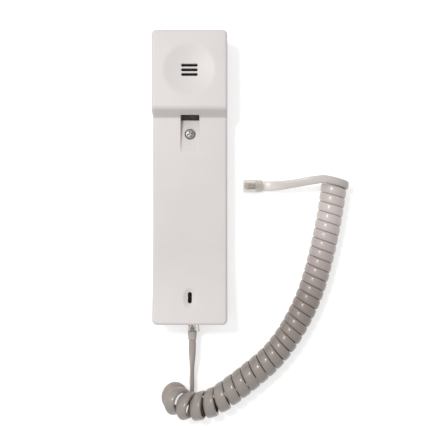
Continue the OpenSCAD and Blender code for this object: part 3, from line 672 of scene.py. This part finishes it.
# %% Holes of the front cover
SCREW_Y, SCREW_SEAT = 26.98, 12.3
EAR_SLOT, EAR_PITCH, MOUTH_SLOT = (9.8, 1.7), 2.75, (6.7, 2.4)
TRAY_HALF, BOSS_R = 7.15, 4.2
TRAY_SIDE = [(14.03, 16.43), (14.03, 15.02), (35.6, 10.0), (47.63, 10.0), (47.63, 20.93), (39.73, 20.93),
             (37.73, 16.43)]
tray = prism("tray", TRAY_HALF, TRAY_SIDE)
holes = [
    turned_solid("boot_bore", MOUTH_Y, [(6.35, 8), (6.35, 16.93)]),
    *(slot_cutter(f"sound_{i}", (0, EAR_Y + EAR_PITCH * i), *EAR_SLOT, False, 21.0) for i in (-1, 0, 1)),
    slot_cutter("mouth", (0, MOUTH_Y), *MOUTH_SLOT, True, 15.53),
    hook_ramp("ramp"),
    hook_hole("pocket"),
    plug_way("way"),
    prism("floor_slot", HOOK_HALF, [(HOOK_DEEP_Y, 8), (42.1, 8), (42.1, 13), (HOOK_DEEP_Y, 13)]),
    turned_solid("screw_well", SCREW_Y, [(3.35, SCREW_SEAT), (3.35, 20)]),
    turned_solid("screw_hole", SCREW_Y, [(1.7, 9), (1.7, 13)])]
adds = [
    tray,
    turned_solid("screw_boss", SCREW_Y, [(BOSS_R, 10), (BOSS_R, 13.2)]),
    mouth_boss("mouth_boss"),
    turned_solid("ear_collar", EAR_Y, [(14.15, 18.2), (15.75, 18.2), (15.75, 23), (14.15, 23)], 96, True)]
carve(front, [("UNION", s) for s in adds] + [("DIFFERENCE", s) for s in holes])
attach(front, "handset")
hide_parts("front_shell", "hook_tray")
print("front cover:", len(front.data.polygons), "faces after cutting")

# %% [markdown]
# ## The back cover
# The back is a shallow tub with a flat underside and a generous round all along its edge. It is the same folded sheet
# turned upside down. Its rim stops a hair short of full width, and so does the front's, which leaves the fine groove
# that shows where two mouldings meet.


# %% Back cover
def level_at(height):
    """A crown or ceiling that has the same height everywhere."""
    return lambda x, y: np.full(np.broadcast(x, y).shape, height)


UPSIDE_DOWN, BACK_FILLET = [1, 1, -1], 2.9
back_sheet, back_down = moulded_box(spread((-18, 18, 3)), spread((-82, 82, 4)), BACK_FILLET, level_at(0.0), -SPLIT)
back_inside = hollowed(back_sheet, back_down, level_at(-WALL), -SPLIT)
back = boxed("back_cover", back_sheet * UPSIDE_DOWN, back_inside * UPSIDE_DOWN)
carve(back, [
    ("UNION", turned_solid("screw_post", SCREW_Y, [(BOSS_R, 1.5), (BOSS_R, 9.98)])),
    ("UNION", turned_solid("ear_post", EAR_Y, [(6.5, 1.5), (8.1, 1.5), (8.1, 11.9), (6.5, 11.9)], ring=True)),
    ("DIFFERENCE", plug_way("way")),
    ("DIFFERENCE", turned_solid("screw_bore", SCREW_Y, [(1.53, 2.6), (1.53, 11)]))])
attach(back, "handset")
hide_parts("back_shell")
print("back cover:", len(back.data.polygons), "faces")

# %% [markdown]
# ## The case screw
# One pan-head screw with a cross recess sits in a well in the ramp. Its top is a height field in polar coordinates: a
# low dome, minus two crossed grooves whose walls are smooth steps. The same profile runs on over the edge, under the
# head and down the shank.

# %% Case screw
DOME_R, DOME_TOP, DOME_DROP, RIM_R = 2.55, 2.0, 0.3, 0.45
CROSS_DEPTH, CROSS_TURN = 1.1, math.radians(20)
SHANK = np.array([[3.0, 0.05], [2.95, 0.0], [1.5, 0.0], [1.5, -8.4], [0.7, -9.0]])


def smooth_step(edge, soft, value):
    """0 before the edge and 1 after it, with a cubic S across this softness."""
    t = np.clip((value - edge) / soft + 0.5, 0, 1)
    return t * t * (3 - 2 * t)


def bar(u, w):
    """1 inside one bar of the cross, along u, and 0 outside it."""
    return (1 - smooth_step(0.42, 0.16, np.abs(w))) * (1 - smooth_step(1.8, 0.2, np.abs(u)))


def screw(name):
    """Radius by angle: a dome that falls with the radius to the power 2.4, grooves cut where a turned point is inside
    either bar of the cross, then the rounded rim, the underside and the shank."""
    a = once_round(144)
    inner, turn = np.linspace(0, DOME_R, 30), np.linspace(0, math.pi / 2, 9)[1:]
    r = np.concatenate([inner, DOME_R + RIM_R * np.sin(turn)])
    dome = DOME_TOP - DOME_DROP * (inner / DOME_R) ** 2.4
    edge = DOME_TOP - DOME_DROP - RIM_R * (1 - np.cos(turn))
    px, py = r[:, None] * np.cos(a - CROSS_TURN), r[:, None] * np.sin(a - CROSS_TURN)
    top = np.concatenate([dome, edge])[:, None] - CROSS_DEPTH * np.maximum(bar(px, py), bar(py, px))
    radius = np.concatenate([r, SHANK[:, 0]])[:, None]
    z = np.concatenate([top, np.repeat(SHANK[:, 1:], len(a), 1)])
    return skin(name, [with_poles(points(radius * np.cos(a), SCREW_Y + radius * np.sin(a), SCREW_SEAT + z))], 40)


case_screw = screw("cross_head_screw")
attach(case_screw, "handset")
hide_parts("case_screw")
print("screw faces:", len(case_screw.data.polygons))

# %% [markdown]
# ## Modular plugs
# Each end of the cord has a clear four-way plug: a block with a notch over each gold contact, a crimped hollow that
# grips the cord, and a springy lever moulded on at the nose. Both plugs come from the same functions, in a frame with
# the nose at the origin and the cord along +x, and are then placed. The crimp leaves no air round the cord, so the
# cord and its four conductors simply stand inside the clear block and show through it.

# %% Plug frames
PLUG_W, PLUG_T, PLUG_LEN, PLUG_ROUND = 7.65, 4.9, 11.6, 0.45
HANDSET_NOSE, TABLE_NOSE = np.array([-1.45, -82.0, 7.175]), np.array([32.6, -3.9, 0.0])


def in_handset(p):
    """From the plug's own frame to its place in the mouth end, standing on its side."""
    x, y, z = HANDSET_NOSE
    return points(x + p[..., 2], y - p[..., 0], z - p[..., 1])


def on_table(p):
    """From the plug's own frame to the free end of the cord, flat on the table."""
    return p + TABLE_NOSE


def block_rings(x, half_y, half_z, z_mid, power, count=48):
    """Rounded rectangles square to x, each with its own half sides."""
    shape = superellipse(1, 1, power, count)
    y = np.broadcast_to(half_y, x.shape)[:, None] * shape[:, 0]
    z = z_mid + np.broadcast_to(half_z, x.shape)[:, None] * shape[:, 1]
    return points(x[:, None], y, z)


def end_round(x, length, r):
    """How far a block's sides draw in near its two ends: a quarter circle of radius r at each."""
    near = np.minimum(np.minimum(x, length - x), r)
    return r - np.sqrt(np.maximum(r**2 - (r - near) ** 2, 0))


print("plug nose in the handset and on the table:", HANDSET_NOSE.tolist(), TABLE_NOSE.tolist())

# %% Plug block and lever
WIRE_PITCH, FIRST_WIRE = 1.02, -1.5
LEVER_LEN, LEVER_RISE, LEVER_FROM, LEVER_GAP = 11.0, math.radians(5), 1.2, 0.8
ROOT_DEPTH, ROOT_LEN = 0.72, 0.9


def plug_block(name, place):
    """The block with rounded ends, cut by four contact notches and the crimp hollow."""
    ends = PLUG_ROUND * (1 - np.cos(np.linspace(0, math.pi / 2, 6)))
    between = np.linspace(PLUG_ROUND, PLUG_LEN - PLUG_ROUND, 14)[1:-1]
    x = np.concatenate([ends, between, PLUG_LEN - ends[::-1]])
    draw = end_round(x, PLUG_LEN, PLUG_ROUND)
    rings = block_rings(x, PLUG_W / 2 - draw, PLUG_T / 2 - draw, PLUG_T / 2, 11)
    notch = block_rings(np.array([-1.0, 5.0]), 0.35, 1.95, 0.65, 16, 24)
    crimp = block_rings(np.array([7.0, 7.5, 8.6, 9.0]), 2.1, np.array([0.4, 1.0, 1.0, 0.4]), 0.0, 12, 32)
    cuts = [notch + [0, (FIRST_WIRE + i) * WIRE_PITCH, 0] for i in range(4)] + [crimp]
    solids = [skin("cut", [with_poles(place(cut))]) for cut in cuts]
    return carve(skin(name, [with_poles(place(rings))]), [("DIFFERENCE", solid) for solid in solids])


def lever(name, place):
    """The latch lever: a thin rounded strip that springs from the nose in a small curve and rises at five degrees."""
    s = np.linspace(0, LEVER_LEN, 34)
    root = np.exp(-((s / ROOT_LEN) ** 2))
    x = LEVER_FROM + s * math.cos(LEVER_RISE)
    z = PLUG_T - 0.2 + LEVER_GAP + s * math.sin(LEVER_RISE) - ROOT_DEPTH * root
    draw = end_round(s, LEVER_LEN, 0.4)
    half_w = 1.7 - 0.12 * smooth_step(3.4, 1.2, s) + 0.14 * smooth_step(8.4, 1.2, s) - draw
    half_t = 0.45 - 0.6 * draw + 0.12 * smooth_step(9.0, 1.0, s) * (s < 10.6)
    rings = block_rings(x, half_w, half_t, z[:, None], 5, 32)
    return skin(name, [with_poles(place(rings))], 50)


print("plug block and lever ready")

# %% Conductors
WIRE_R, MEAN_PITCH = 0.4, 0.98


def conductors(name, place):
    """Four insulated wires side by side, from the cord's end to the contacts, as one mesh; an attribute numbers them
    by the place of each face's middle across the plug."""
    x = np.linspace(2.9, 8.4, 14)[:, None]
    a = once_round(12)
    pitch = WIRE_PITCH - 0.1 * smooth_step(6.0, 3.0, x)
    z = PLUG_T / 2 - 0.1 + WIRE_R * np.sin(a)
    tubes = [points(x, (FIRST_WIRE + i) * pitch + WIRE_R * np.cos(a), z) for i in range(4)]
    piece = skin(name, [with_poles(place(tube)) for tube in tubes], 60)
    middle = np.empty(len(piece.data.polygons) * 3, np.float32)
    piece.data.polygons.foreach_get("center", middle)
    middle = middle.reshape(-1, 3) / MM
    across = HANDSET_NOSE[2] - middle[:, 2] if place is in_handset else middle[:, 1] - TABLE_NOSE[1]
    number = np.clip(np.round(across / MEAN_PITCH - FIRST_WIRE), 0, 3)
    piece.data.attributes.new("strand", "FLOAT", "FACE").data.foreach_set("value", number.astype(np.float32))
    return piece


print("conductors ready")

# %% Both plugs
plug_pieces = []
for end, place, latch_body in (("handset", in_handset, "handset_latch"), ("line", on_table, "line_latch")):
    block = plug_block(f"{end}_plug_block", place)
    arm = lever(f"{end}_plug_lever", place)
    strands = conductors(f"{end}_plug_strands", place)
    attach(block, "cord")
    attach(strands, "cord")
    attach(arm, latch_body)
    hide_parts(f"{end}_plug_body")
    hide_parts(f"{end}_plug_latch")
    plug_pieces.append((block, arm, strands))
print("plug faces:", [len(block.data.polygons) for block, _, _ in plug_pieces])

# %% [markdown]
# ## The sleeve on the cord
# Behind the handset's plug the cord carries a short soft sleeve that keeps it from kinking. It is a tube that tapers
# towards the cord, with rounded ends and two shallow grooves.

# %% Sleeve
SLEEVE_LEN, GROOVES, GROOVE_DEPTH, GROOVE_HALF = 5.0, (1.9, 3.3), 0.14, 0.22


def sleeve(name):
    """Rounded rectangles along the cord whose half sides shrink a little, dip at two grooves and draw in at the
    ends."""
    s = np.linspace(0, SLEEVE_LEN, 40)
    dips = sum(np.exp(-(((s - middle) / GROOVE_HALF) ** 2)) for middle in GROOVES)
    draw = end_round(s, SLEEVE_LEN, 0.5) * 0.9 + GROOVE_DEPTH * dips
    rings = block_rings(PLUG_LEN + s, 3.1 - 0.03 * s - draw, 2.75 - 0.05 * s - draw, PLUG_T / 2, 3.6, 44)
    return skin(name, [with_poles(in_handset(rings))], 60)


cord_sleeve = sleeve("bend_sleeve")
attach(cord_sleeve, "cord")
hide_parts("cord_sleeve")
print("sleeve faces:", len(cord_sleeve.data.polygons))

# %% [markdown]
# ## Writing finishes as formulas
# A finish is a small network of shader nodes. Wiring nodes by hand is slow to read, so a socket is wrapped in a class
# whose plus, minus, times and so on add Math nodes. A formula such as 1 - mask then builds its own network. All other
# nodes come from one method that takes the node's type, its settings and its sockets.


# %% Wires
def both_ways(operation):
    """An operator's two forms: the wire on the left, and the wire on the right."""
    return (lambda wire, other: wire.maths(operation, wire, other),
            lambda wire, other: wire.maths(operation, other, wire))


class Wire:
    """One output socket. Arithmetic on it adds a Math node and gives that node's output."""

    def __init__(self, network, socket):
        self.network, self.socket = network, socket

    def maths(self, operation, *values):
        """A Math node with this operation on these values."""
        return self.network.node("ShaderNodeMath", {"operation": operation}, dict(enumerate(values)))

    __add__, __radd__ = both_ways("ADD")
    __sub__, __rsub__ = both_ways("SUBTRACT")
    __mul__, __rmul__ = both_ways("MULTIPLY")
    __truediv__, __rtruediv__ = both_ways("DIVIDE")
    __pow__, __rpow__ = both_ways("POWER")

    def wave(self, length_mm):
        """A sine of this value that repeats every so many millimetres."""
        return self.maths("SINE", self * (math.tau / (length_mm * MM)))

    def clamped(self):
        """This value, kept between 0 and 1."""
        return self.network.node("ShaderNodeClamp", {}, {0: self})


print("wire ready")


# %% Networks
class Network:
    """A tree of shader nodes. node() adds any node to it, and the other methods are short names for some of them."""

    def __init__(self, tree):
        self.tree = tree

    def node(self, kind, settings, sockets, out=0):
        """Adds a node of this type, sets its settings first, then gives each socket a value or a link."""
        made = self.tree.nodes.new(kind)
        for key, value in settings.items():
            if key == "stops":
                ramp = made.color_ramp.elements
                while len(ramp) < len(value):
                    ramp.new(0.5)
                for stop, (place, colour) in zip(ramp, value):
                    stop.position, stop.color = place, (*colour, 1)
            elif key == "blending":
                made.color_ramp.interpolation = value
            else:
                setattr(made, key, value)
        for key, value in sockets.items():
            self.feed(made.inputs[key], value)
        return Wire(self, made.outputs[out])

    def feed(self, socket, value):
        """Links a wire to the socket, or sets a plain value on it."""
        if isinstance(value, Wire):
            self.tree.links.new(value.socket, socket)
        else:
            socket.default_value = value

    def place(self):
        """Object coordinates, in metres."""
        return self.node("ShaderNodeTexCoord", {}, {}, "Object")

    def noise(self, size_mm, detail, where=None):
        """Noise whose blotches are about this many millimetres across."""
        sockets = {"Vector": where or self.place(), "Scale": 1 / (size_mm * MM), "Detail": detail}
        return self.node("ShaderNodeTexNoise", {}, sockets, "Fac")

    def ramp(self, value, *stops, blending="LINEAR"):
        """A colour that goes from stop to stop, each a (place, colour), as the value grows."""
        return self.node("ShaderNodeValToRGB", {"stops": stops, "blending": blending}, {"Fac": value}, "Color")

    def mix(self, amount, a, b):
        """A colour between a and b. The sockets of a colour Mix are 0, 6 and 7."""
        a, b = (c if isinstance(c, Wire) else (*c, 1) for c in (a, b))
        return self.node("ShaderNodeMix", {"data_type": "RGBA"}, {0: amount, 6: a, 7: b}, 2)

    def outputs(self, wire, *names):
        """Several outputs of the node that this wire comes from."""
        return [Wire(self, wire.socket.node.outputs[name]) for name in names]

    def axes(self, vector):
        """The x, y and z of a vector."""
        return self.outputs(self.node("ShaderNodeSeparateXYZ", {}, {0: vector}), "X", "Y", "Z")

    def looked_at(self):
        """1 for what the camera sees, also in a mirror or through glass, and 0 for light on its way between
        surfaces."""
        rays = self.node("ShaderNodeLightPath", {}, {})
        seen, mirrored, passed = self.outputs(rays, "Is Camera Ray", "Is Glossy Ray", "Is Transmission Ray")
        return (seen + mirrored + passed).clamped()


print("network ready")


# %% Finishes
class Finish(Network):
    """A material with one Principled shader, whose constant sockets are set by name."""

    def __init__(self, name, **constants):
        self.material = bpy.data.materials.new(name)
        self.material.use_nodes = True
        super().__init__(self.material.node_tree)
        self.set(**constants)

    def set(self, **sockets):
        """Feeds the shader's own sockets."""
        shader = self.tree.nodes["Principled BSDF"]
        for key, value in sockets.items():
            self.feed(shader.inputs[key.replace("_", " ")], value)

    def look(self, colour, rough, height, depth_mm):
        """What nearly every finish has: a colour, a roughness, and a bump that bends the shading as if the height,
        from 0 to 1, stood this many millimetres high."""
        bump = self.node("ShaderNodeBump", {}, {"Height": height, "Distance": depth_mm * MM, "Strength": 1.0})
        self.set(Base_Color=colour, Roughness=rough.clamped(), Normal=bump)
        return self

    def coat(self, *pieces):
        """Makes this the only finish of each piece."""
        for piece in pieces:
            piece.data.materials.clear()
            piece.data.materials.append(self.material)


print("finish ready")

# %% [markdown]
# ## Moulded plastic of the covers
# The covers are pale grey ABS with a slight warm tint. Up close, the mould gives it a very fine spark texture, which
# blurs its highlights. A handset that has been used is also a little polished and a little uneven in tone, so two
# soft noises move the colour and the roughness by a few per cent.

# %% Cover plastic
shell = Finish("warm_grey_abs", Specular_IOR_Level=0.42)
cloud, grain = shell.noise(26, 2), shell.noise(0.38, 2)
tone = shell.ramp(cloud, (0.3, (0.722, 0.678, 0.672)), (0.7, (0.752, 0.708, 0.703)))
speckled = shell.mix(grain * 0.05, tone, (0.60, 0.56, 0.545))
shell.look(speckled, 0.43 + 0.12 * (cloud - 0.5) + 0.05 * (grain - 0.5), grain, 0.012)
shell.coat(front, back)
print("covers finished with", shell.material.name)

# %% [markdown]
# ## Cord jacket
# The jacket is soft glossy PVC. It was drawn through a die, so fine lines run along it. Painted shade makes it darkest
# and greyest in the tight curls and palest at the free end, with a darker patch where the lead loops over the last
# curl. The UV map counts millimetres along the cord, which makes both simple: the painted shade is a ramp along it,
# and the lines are a noise stretched in that direction.

# %% Cord finish
jacket = Finish("cord_jacket_pvc", Specular_IOR_Level=0.5, Coat_Roughness=0.15)
along_u, round_v, _ = jacket.axes(jacket.node("ShaderNodeUVMap", {"uv_map": "along_cord"}, {}))
stretched = jacket.node("ShaderNodeCombineXYZ", {}, {0: along_u * 0.03, 1: round_v * 2.2, 2: 0.0})
lines = jacket.node("ShaderNodeTexNoise", {}, {"Vector": stretched, "Scale": 1.0, "Detail": 2.0})
handled = jacket.noise(9, 3)
# Painted shade: this ramp darkens the jacket through the curls and towards the handset, leaves it pale at the free
# end, and dips dark where the lead loops over the last curl.
painted_shade_along_cord = jacket.ramp(
    along_u / cord_length, (0.0, (0.364, 0.317, 0.288)), (0.22, (0.323, 0.284, 0.253)), (0.58, (0.272, 0.222, 0.200)),
    (0.86, (0.69, 0.61, 0.59)), (0.94, (0.62, 0.55, 0.525)), (0.957, (0.50, 0.445, 0.42)), (0.975, (0.75, 0.70, 0.67)),
    (1.0, (0.88, 0.84, 0.81)))
jacket.look(jacket.mix(handled * 0.22, painted_shade_along_cord, (0.36, 0.315, 0.29)), 0.27 + 0.1 * handled, lines, 0.018)
jacket.set(Coat_Weight=(0.24 + 0.26 * (1 - handled)).clamped())
jacket.coat(cord)
print("cord finished with", jacket.material.name)

# %% [markdown]
# ## Sleeve and conductors
# The sleeve is a duller, softer PVC than the jacket, with a fine matt grain. The four conductors in each plug are
# coloured by the usual code. Each has a number on its faces, and a ramp with hard steps turns that number into a
# colour. A rubbed grey is mixed in, so that they stay pale behind the hazy plastic.

# %% Sleeve and conductor finishes
soft = Finish("sleeve_pvc", Specular_IOR_Level=0.4)
fine, smear = soft.noise(0.3, 2), soft.noise(3, 2)
soft.look(soft.ramp(smear, (0.3, (0.43, 0.385, 0.37)), (0.75, (0.53, 0.48, 0.465))), 0.5 + 0.15 * fine, fine, 0.02)
soft.coat(cord_sleeve)

insulation = Finish("conductor_pvc")
strand = insulation.node("ShaderNodeAttribute", {"attribute_name": "strand"}, {}, "Fac")
code = insulation.ramp(strand / 3, (0.0, (0.09, 0.085, 0.08)), (0.2, (0.42, 0.09, 0.07)), (0.5, (0.09, 0.23, 0.10)),
                       (0.8, (0.66, 0.50, 0.12)), blending="CONSTANT")
rub = insulation.noise(1.2, 2)
insulation.look(insulation.mix(rub * 0.45, code, (0.52, 0.46, 0.41)), 0.3 + 0.2 * rub, rub, 0.02)
insulation.coat(*(strands for _, _, strands in plug_pieces))
print("sleeve and conductors finished")

# %% [markdown]
# ## Clear plugs
# The plugs are polycarbonate: clear, a little yellowed, and scuffed where they slide in the jack. Real transmission
# bends what lies behind, so the gold and the conductors show through. Blender's glass also keeps most lamp light from
# what is inside it, and such small plugs would look too dark. So part of the light passes straight through by the
# alpha, and part stays on the surface as haze. The scuffs are a fine noise in the roughness, and flow marks from the
# mould are a larger one in colour and bump.

# %% Clear plastic
clear = Finish("clear_polycarbonate", Transmission_Weight=0.76, IOR=1.5, Alpha=0.7)
flow, scuff = clear.noise(1.6, 2), clear.noise(0.5, 3)
clear.look(clear.ramp(flow, (0.3, (0.70, 0.67, 0.62)), (0.7, (0.83, 0.80, 0.755))), 0.03 + 0.12 * scuff, flow, 0.05)
clear.coat(*(piece for block, arm, _ in plug_pieces for piece in (block, arm)))
print("clear plugs finished")

# %% [markdown]
# ## Metals
# Plated steel shows fine turning or rolling marks. They are a noise that is stretched along one axis and moves the
# roughness and the bump. The dark steel of the speaker is dull and faintly blotched, and the gold of the contacts is
# a little tarnished where the fingers of the jack don't rub it.


# %% Metal finishes
def metal(name, dark, light, rough, blotch_mm, squeeze):
    """Metal whose colour moves between two tones, with marks drawn out along the squeezed axes."""
    finish = Finish(name, Metallic=1.0)
    drawn = finish.node("ShaderNodeMapping", {}, {"Vector": finish.place(), "Scale": squeeze})
    marks, stain = finish.noise(0.25, 3, drawn), finish.noise(blotch_mm, 3)
    colour = finish.ramp(stain, (0.3, dark), (0.7, light))
    return finish.look(colour, rough + 0.18 * (marks - 0.5) + 0.1 * stain, marks, 0.006)


metals = {
    "steel": metal("plated_steel", (0.16, 0.16, 0.155), (0.30, 0.30, 0.29), 0.36, 1.2, (1, 0.08, 1)),
    "dark_steel": metal("blackened_steel", (0.055, 0.055, 0.058), (0.10, 0.10, 0.105), 0.45, 4, (1, 1, 0.1)),
    "aluminium": metal("drawn_aluminium", (0.52, 0.52, 0.54), (0.68, 0.68, 0.70), 0.3, 3, (1, 1, 0.06)),
    "contacts": metal("gold_plate", (0.62, 0.38, 0.10), (0.83, 0.58, 0.22), 0.2, 0.9, (0.1, 1, 1))}
metals["steel"].coat(case_screw)
finishes = {"shell": shell, "cord": jacket, "clear": clear, **metals}
print("metals:", [finish.material.name for finish in metals.values()])

# %% [markdown]
# ## Cloth, foam and rubber
# Through the slots one sees black acoustic cloth, and with the covers off there are foam, rubber, a nylon jack and
# green boards. Each has its own scale of detail: the cloth a weave of a third of a millimetre, the others a pebbled
# grain. Two crossed sines make the weave, and the distance to the nearest of many scattered points makes the grain.

# %% Cloth, foam and rubber
cloth = Finish("acoustic_cloth", Specular_IOR_Level=0.2)
cx, cy, _ = cloth.axes(cloth.place())
weave = cx.wave(0.35) * cy.wave(0.35) * 0.5 + 0.5
finishes["mesh"] = cloth.look(
    cloth.mix(weave, (0.004, 0.004, 0.004), (0.018, 0.018, 0.018)), 0.95 - 0.15 * weave, weave, 0.08)


def pebbled(name, dark, light, rough, size_mm, depth_mm):
    """A matt finish with a grain of this size that moves colour, roughness and height together."""
    finish = Finish(name, Specular_IOR_Level=0.35)
    sockets = {"Vector": finish.place(), "Scale": 1 / (size_mm * MM)}
    cell = finish.node("ShaderNodeTexVoronoi", {}, sockets, "Distance")
    blur = finish.noise(size_mm * 9, 2)
    colour = finish.mix((0.6 * cell + 0.4 * blur).clamped(), dark, light)
    return finish.look(colour, rough + 0.15 * (blur - 0.5), cell, depth_mm)


finishes["foam"] = pebbled("open_cell_foam", (0.012, 0.012, 0.012), (0.05, 0.05, 0.05), 0.9, 0.5, 0.2)
finishes["rubber"] = pebbled("moulded_rubber", (0.010, 0.010, 0.010), (0.024, 0.024, 0.024), 0.6, 0.3, 0.02)
finishes["jack"] = pebbled("glass_filled_nylon", (0.014, 0.014, 0.016), (0.030, 0.030, 0.033), 0.45, 0.4, 0.015)
finishes["board"] = pebbled("green_fibreglass", (0.030, 0.13, 0.045), (0.055, 0.21, 0.08), 0.35, 0.6, 0.02)
print("cloth, foam, rubber, nylon and board finished")

# %% [markdown]
# ## Coil, diaphragm and wires
# The voice coil is fine enamelled wire wound in layers, so its height goes up and down in a sine along the axis. The
# diaphragm is a thin film with round corrugations, which are a sine of the distance from its middle. The insulation
# of the wires is smooth, with slight smears. All the remaining CAD nodes then get the finish of their slot.

# %% Coil, diaphragm and wires
copper = Finish("enamelled_copper", Metallic=0.9)
_, _, cz = copper.axes(copper.place())
wound = cz.wave(0.12) * 0.5 + 0.5
finishes["copper"] = copper.look(
    copper.mix(wound, (0.42, 0.15, 0.05), (0.70, 0.33, 0.14)), 0.38 - 0.12 * wound, wound, 0.05)

film = Finish("diaphragm_film", Specular_IOR_Level=0.6)
centred = film.node("ShaderNodeMapping", {}, {"Vector": film.place(), "Location": (0.0, -EAR_Y * MM, 0.0)})
fx, fy, _ = film.axes(centred)
waves = ((fx * fx + fy * fy) ** 0.5).wave(1.4) * 0.5 + 0.5
finishes["film"] = film.look(
    film.mix(waves, (0.46, 0.41, 0.28), (0.60, 0.55, 0.41)), 0.30 + 0.10 * waves, waves, 0.12)


def wire_finish(name, dark, light):
    """Wire insulation: a smooth colour with slight smears, and die lines too fine to see apart."""
    finish = Finish(name, Specular_IOR_Level=0.5)
    smears, die = finish.noise(5, 3), finish.noise(0.2, 2)
    return finish.look(finish.ramp(smears, (0.3, dark), (0.7, light)), 0.32 + 0.15 * smears, die, 0.01)


finishes["wire_red"] = wire_finish("red_insulation", (0.40, 0.020, 0.015), (0.56, 0.040, 0.028))
finishes["wire_blue"] = wire_finish("blue_insulation", (0.022, 0.045, 0.28), (0.040, 0.075, 0.42))
slot_of = {part["node"]: part["material_slot"] for part in frame["record"]["subparts"]}
for name, node in nodes.items():
    material = finishes[slot_of[name]].material
    for place_in_list in node.material_slots:
        place_in_list.material = material
    if not node.material_slots:
        node.data.materials.append(material)
print("finishes:", sorted(finishes))

# %% [markdown]
# ## Floor
# A catalogue picture has a white floor. Here it is a large flat sheet of white paper. To the camera it glows just
# enough to be white where nothing stands, and it still receives shadows. The glow counts only for what the camera
# sees, directly, in a mirror or through glass, so it doesn't light the object.

# %% Floor
FLOOR_HALF, FLOOR_Z, FLOOR_LINES = 1200.0, -0.3, 13
floor_lines = np.linspace(-FLOOR_HALF, FLOOR_HALF, FLOOR_LINES)
floor_grid = points(floor_lines, floor_lines[:, None], FLOOR_Z)
floor = link_mesh("table", new_mesh("table", floor_grid, grid_faces(FLOOR_LINES, FLOOR_LINES).tolist()))
paper = Finish("white_paper", Roughness=0.9, Specular_IOR_Level=0.1, Emission_Strength=1.0)
paper.set(Base_Color=paper.ramp(paper.noise(2.0, 3), (0.3, (0.84, 0.84, 0.84)), (0.7, (0.86, 0.86, 0.86))),
          Emission_Color=paper.mix(paper.looked_at(), (0.0, 0.0, 0.0), (0.5, 0.5, 0.5)))
paper.coat(floor)
print("floor ready")

# %% [markdown]
# ## Light
# The photograph has soft light, a little stronger from the upper left. One round lamp stands there, small enough to
# give each curl of the cord its own small highlight. The pale surroundings fill the shadows, more from the left and
# from above the picture than from the right. To the camera the surroundings are plain white.

# %% Lamp
LAMP_PLACE, LAMP_AIM, LAMP_SIZE, LAMP_WATTS = (-0.19, 0.15, 0.58), (0.02, -0.02, 0.0), 0.115, 1.56
light = bpy.data.lights.new("window_light", "AREA")
light.shape, light.size, light.energy, light.color = "DISK", LAMP_SIZE, LAMP_WATTS, (1.0, 0.99, 0.98)
lamp = bpy.data.objects.new("window_light", light)
scene.collection.objects.link(lamp)
lamp.location = LAMP_PLACE
lamp.rotation_euler = (Vector(LAMP_AIM) - lamp.location).to_track_quat("-Z", "Y").to_euler()
print("lamp:", lamp.name, light.energy, "W")

# %% Surroundings
scene.world = bpy.data.worlds.new("pale_room")
scene.world.use_nodes = True
sky = Network(scene.world.node_tree)
backdrop = sky.tree.nodes["Background"]
backdrop.inputs["Color"].default_value = (1, 1, 1, 1)
looked_at = sky.looked_at()
east, north, _ = sky.axes(sky.node("ShaderNodeTexCoord", {}, {}, "Generated"))
glow = 0.56 - 0.16 * east + 0.08 * north
sky.feed(backdrop.inputs["Strength"], looked_at + (1 - looked_at) * glow)
print("surroundings:", scene.world.name)
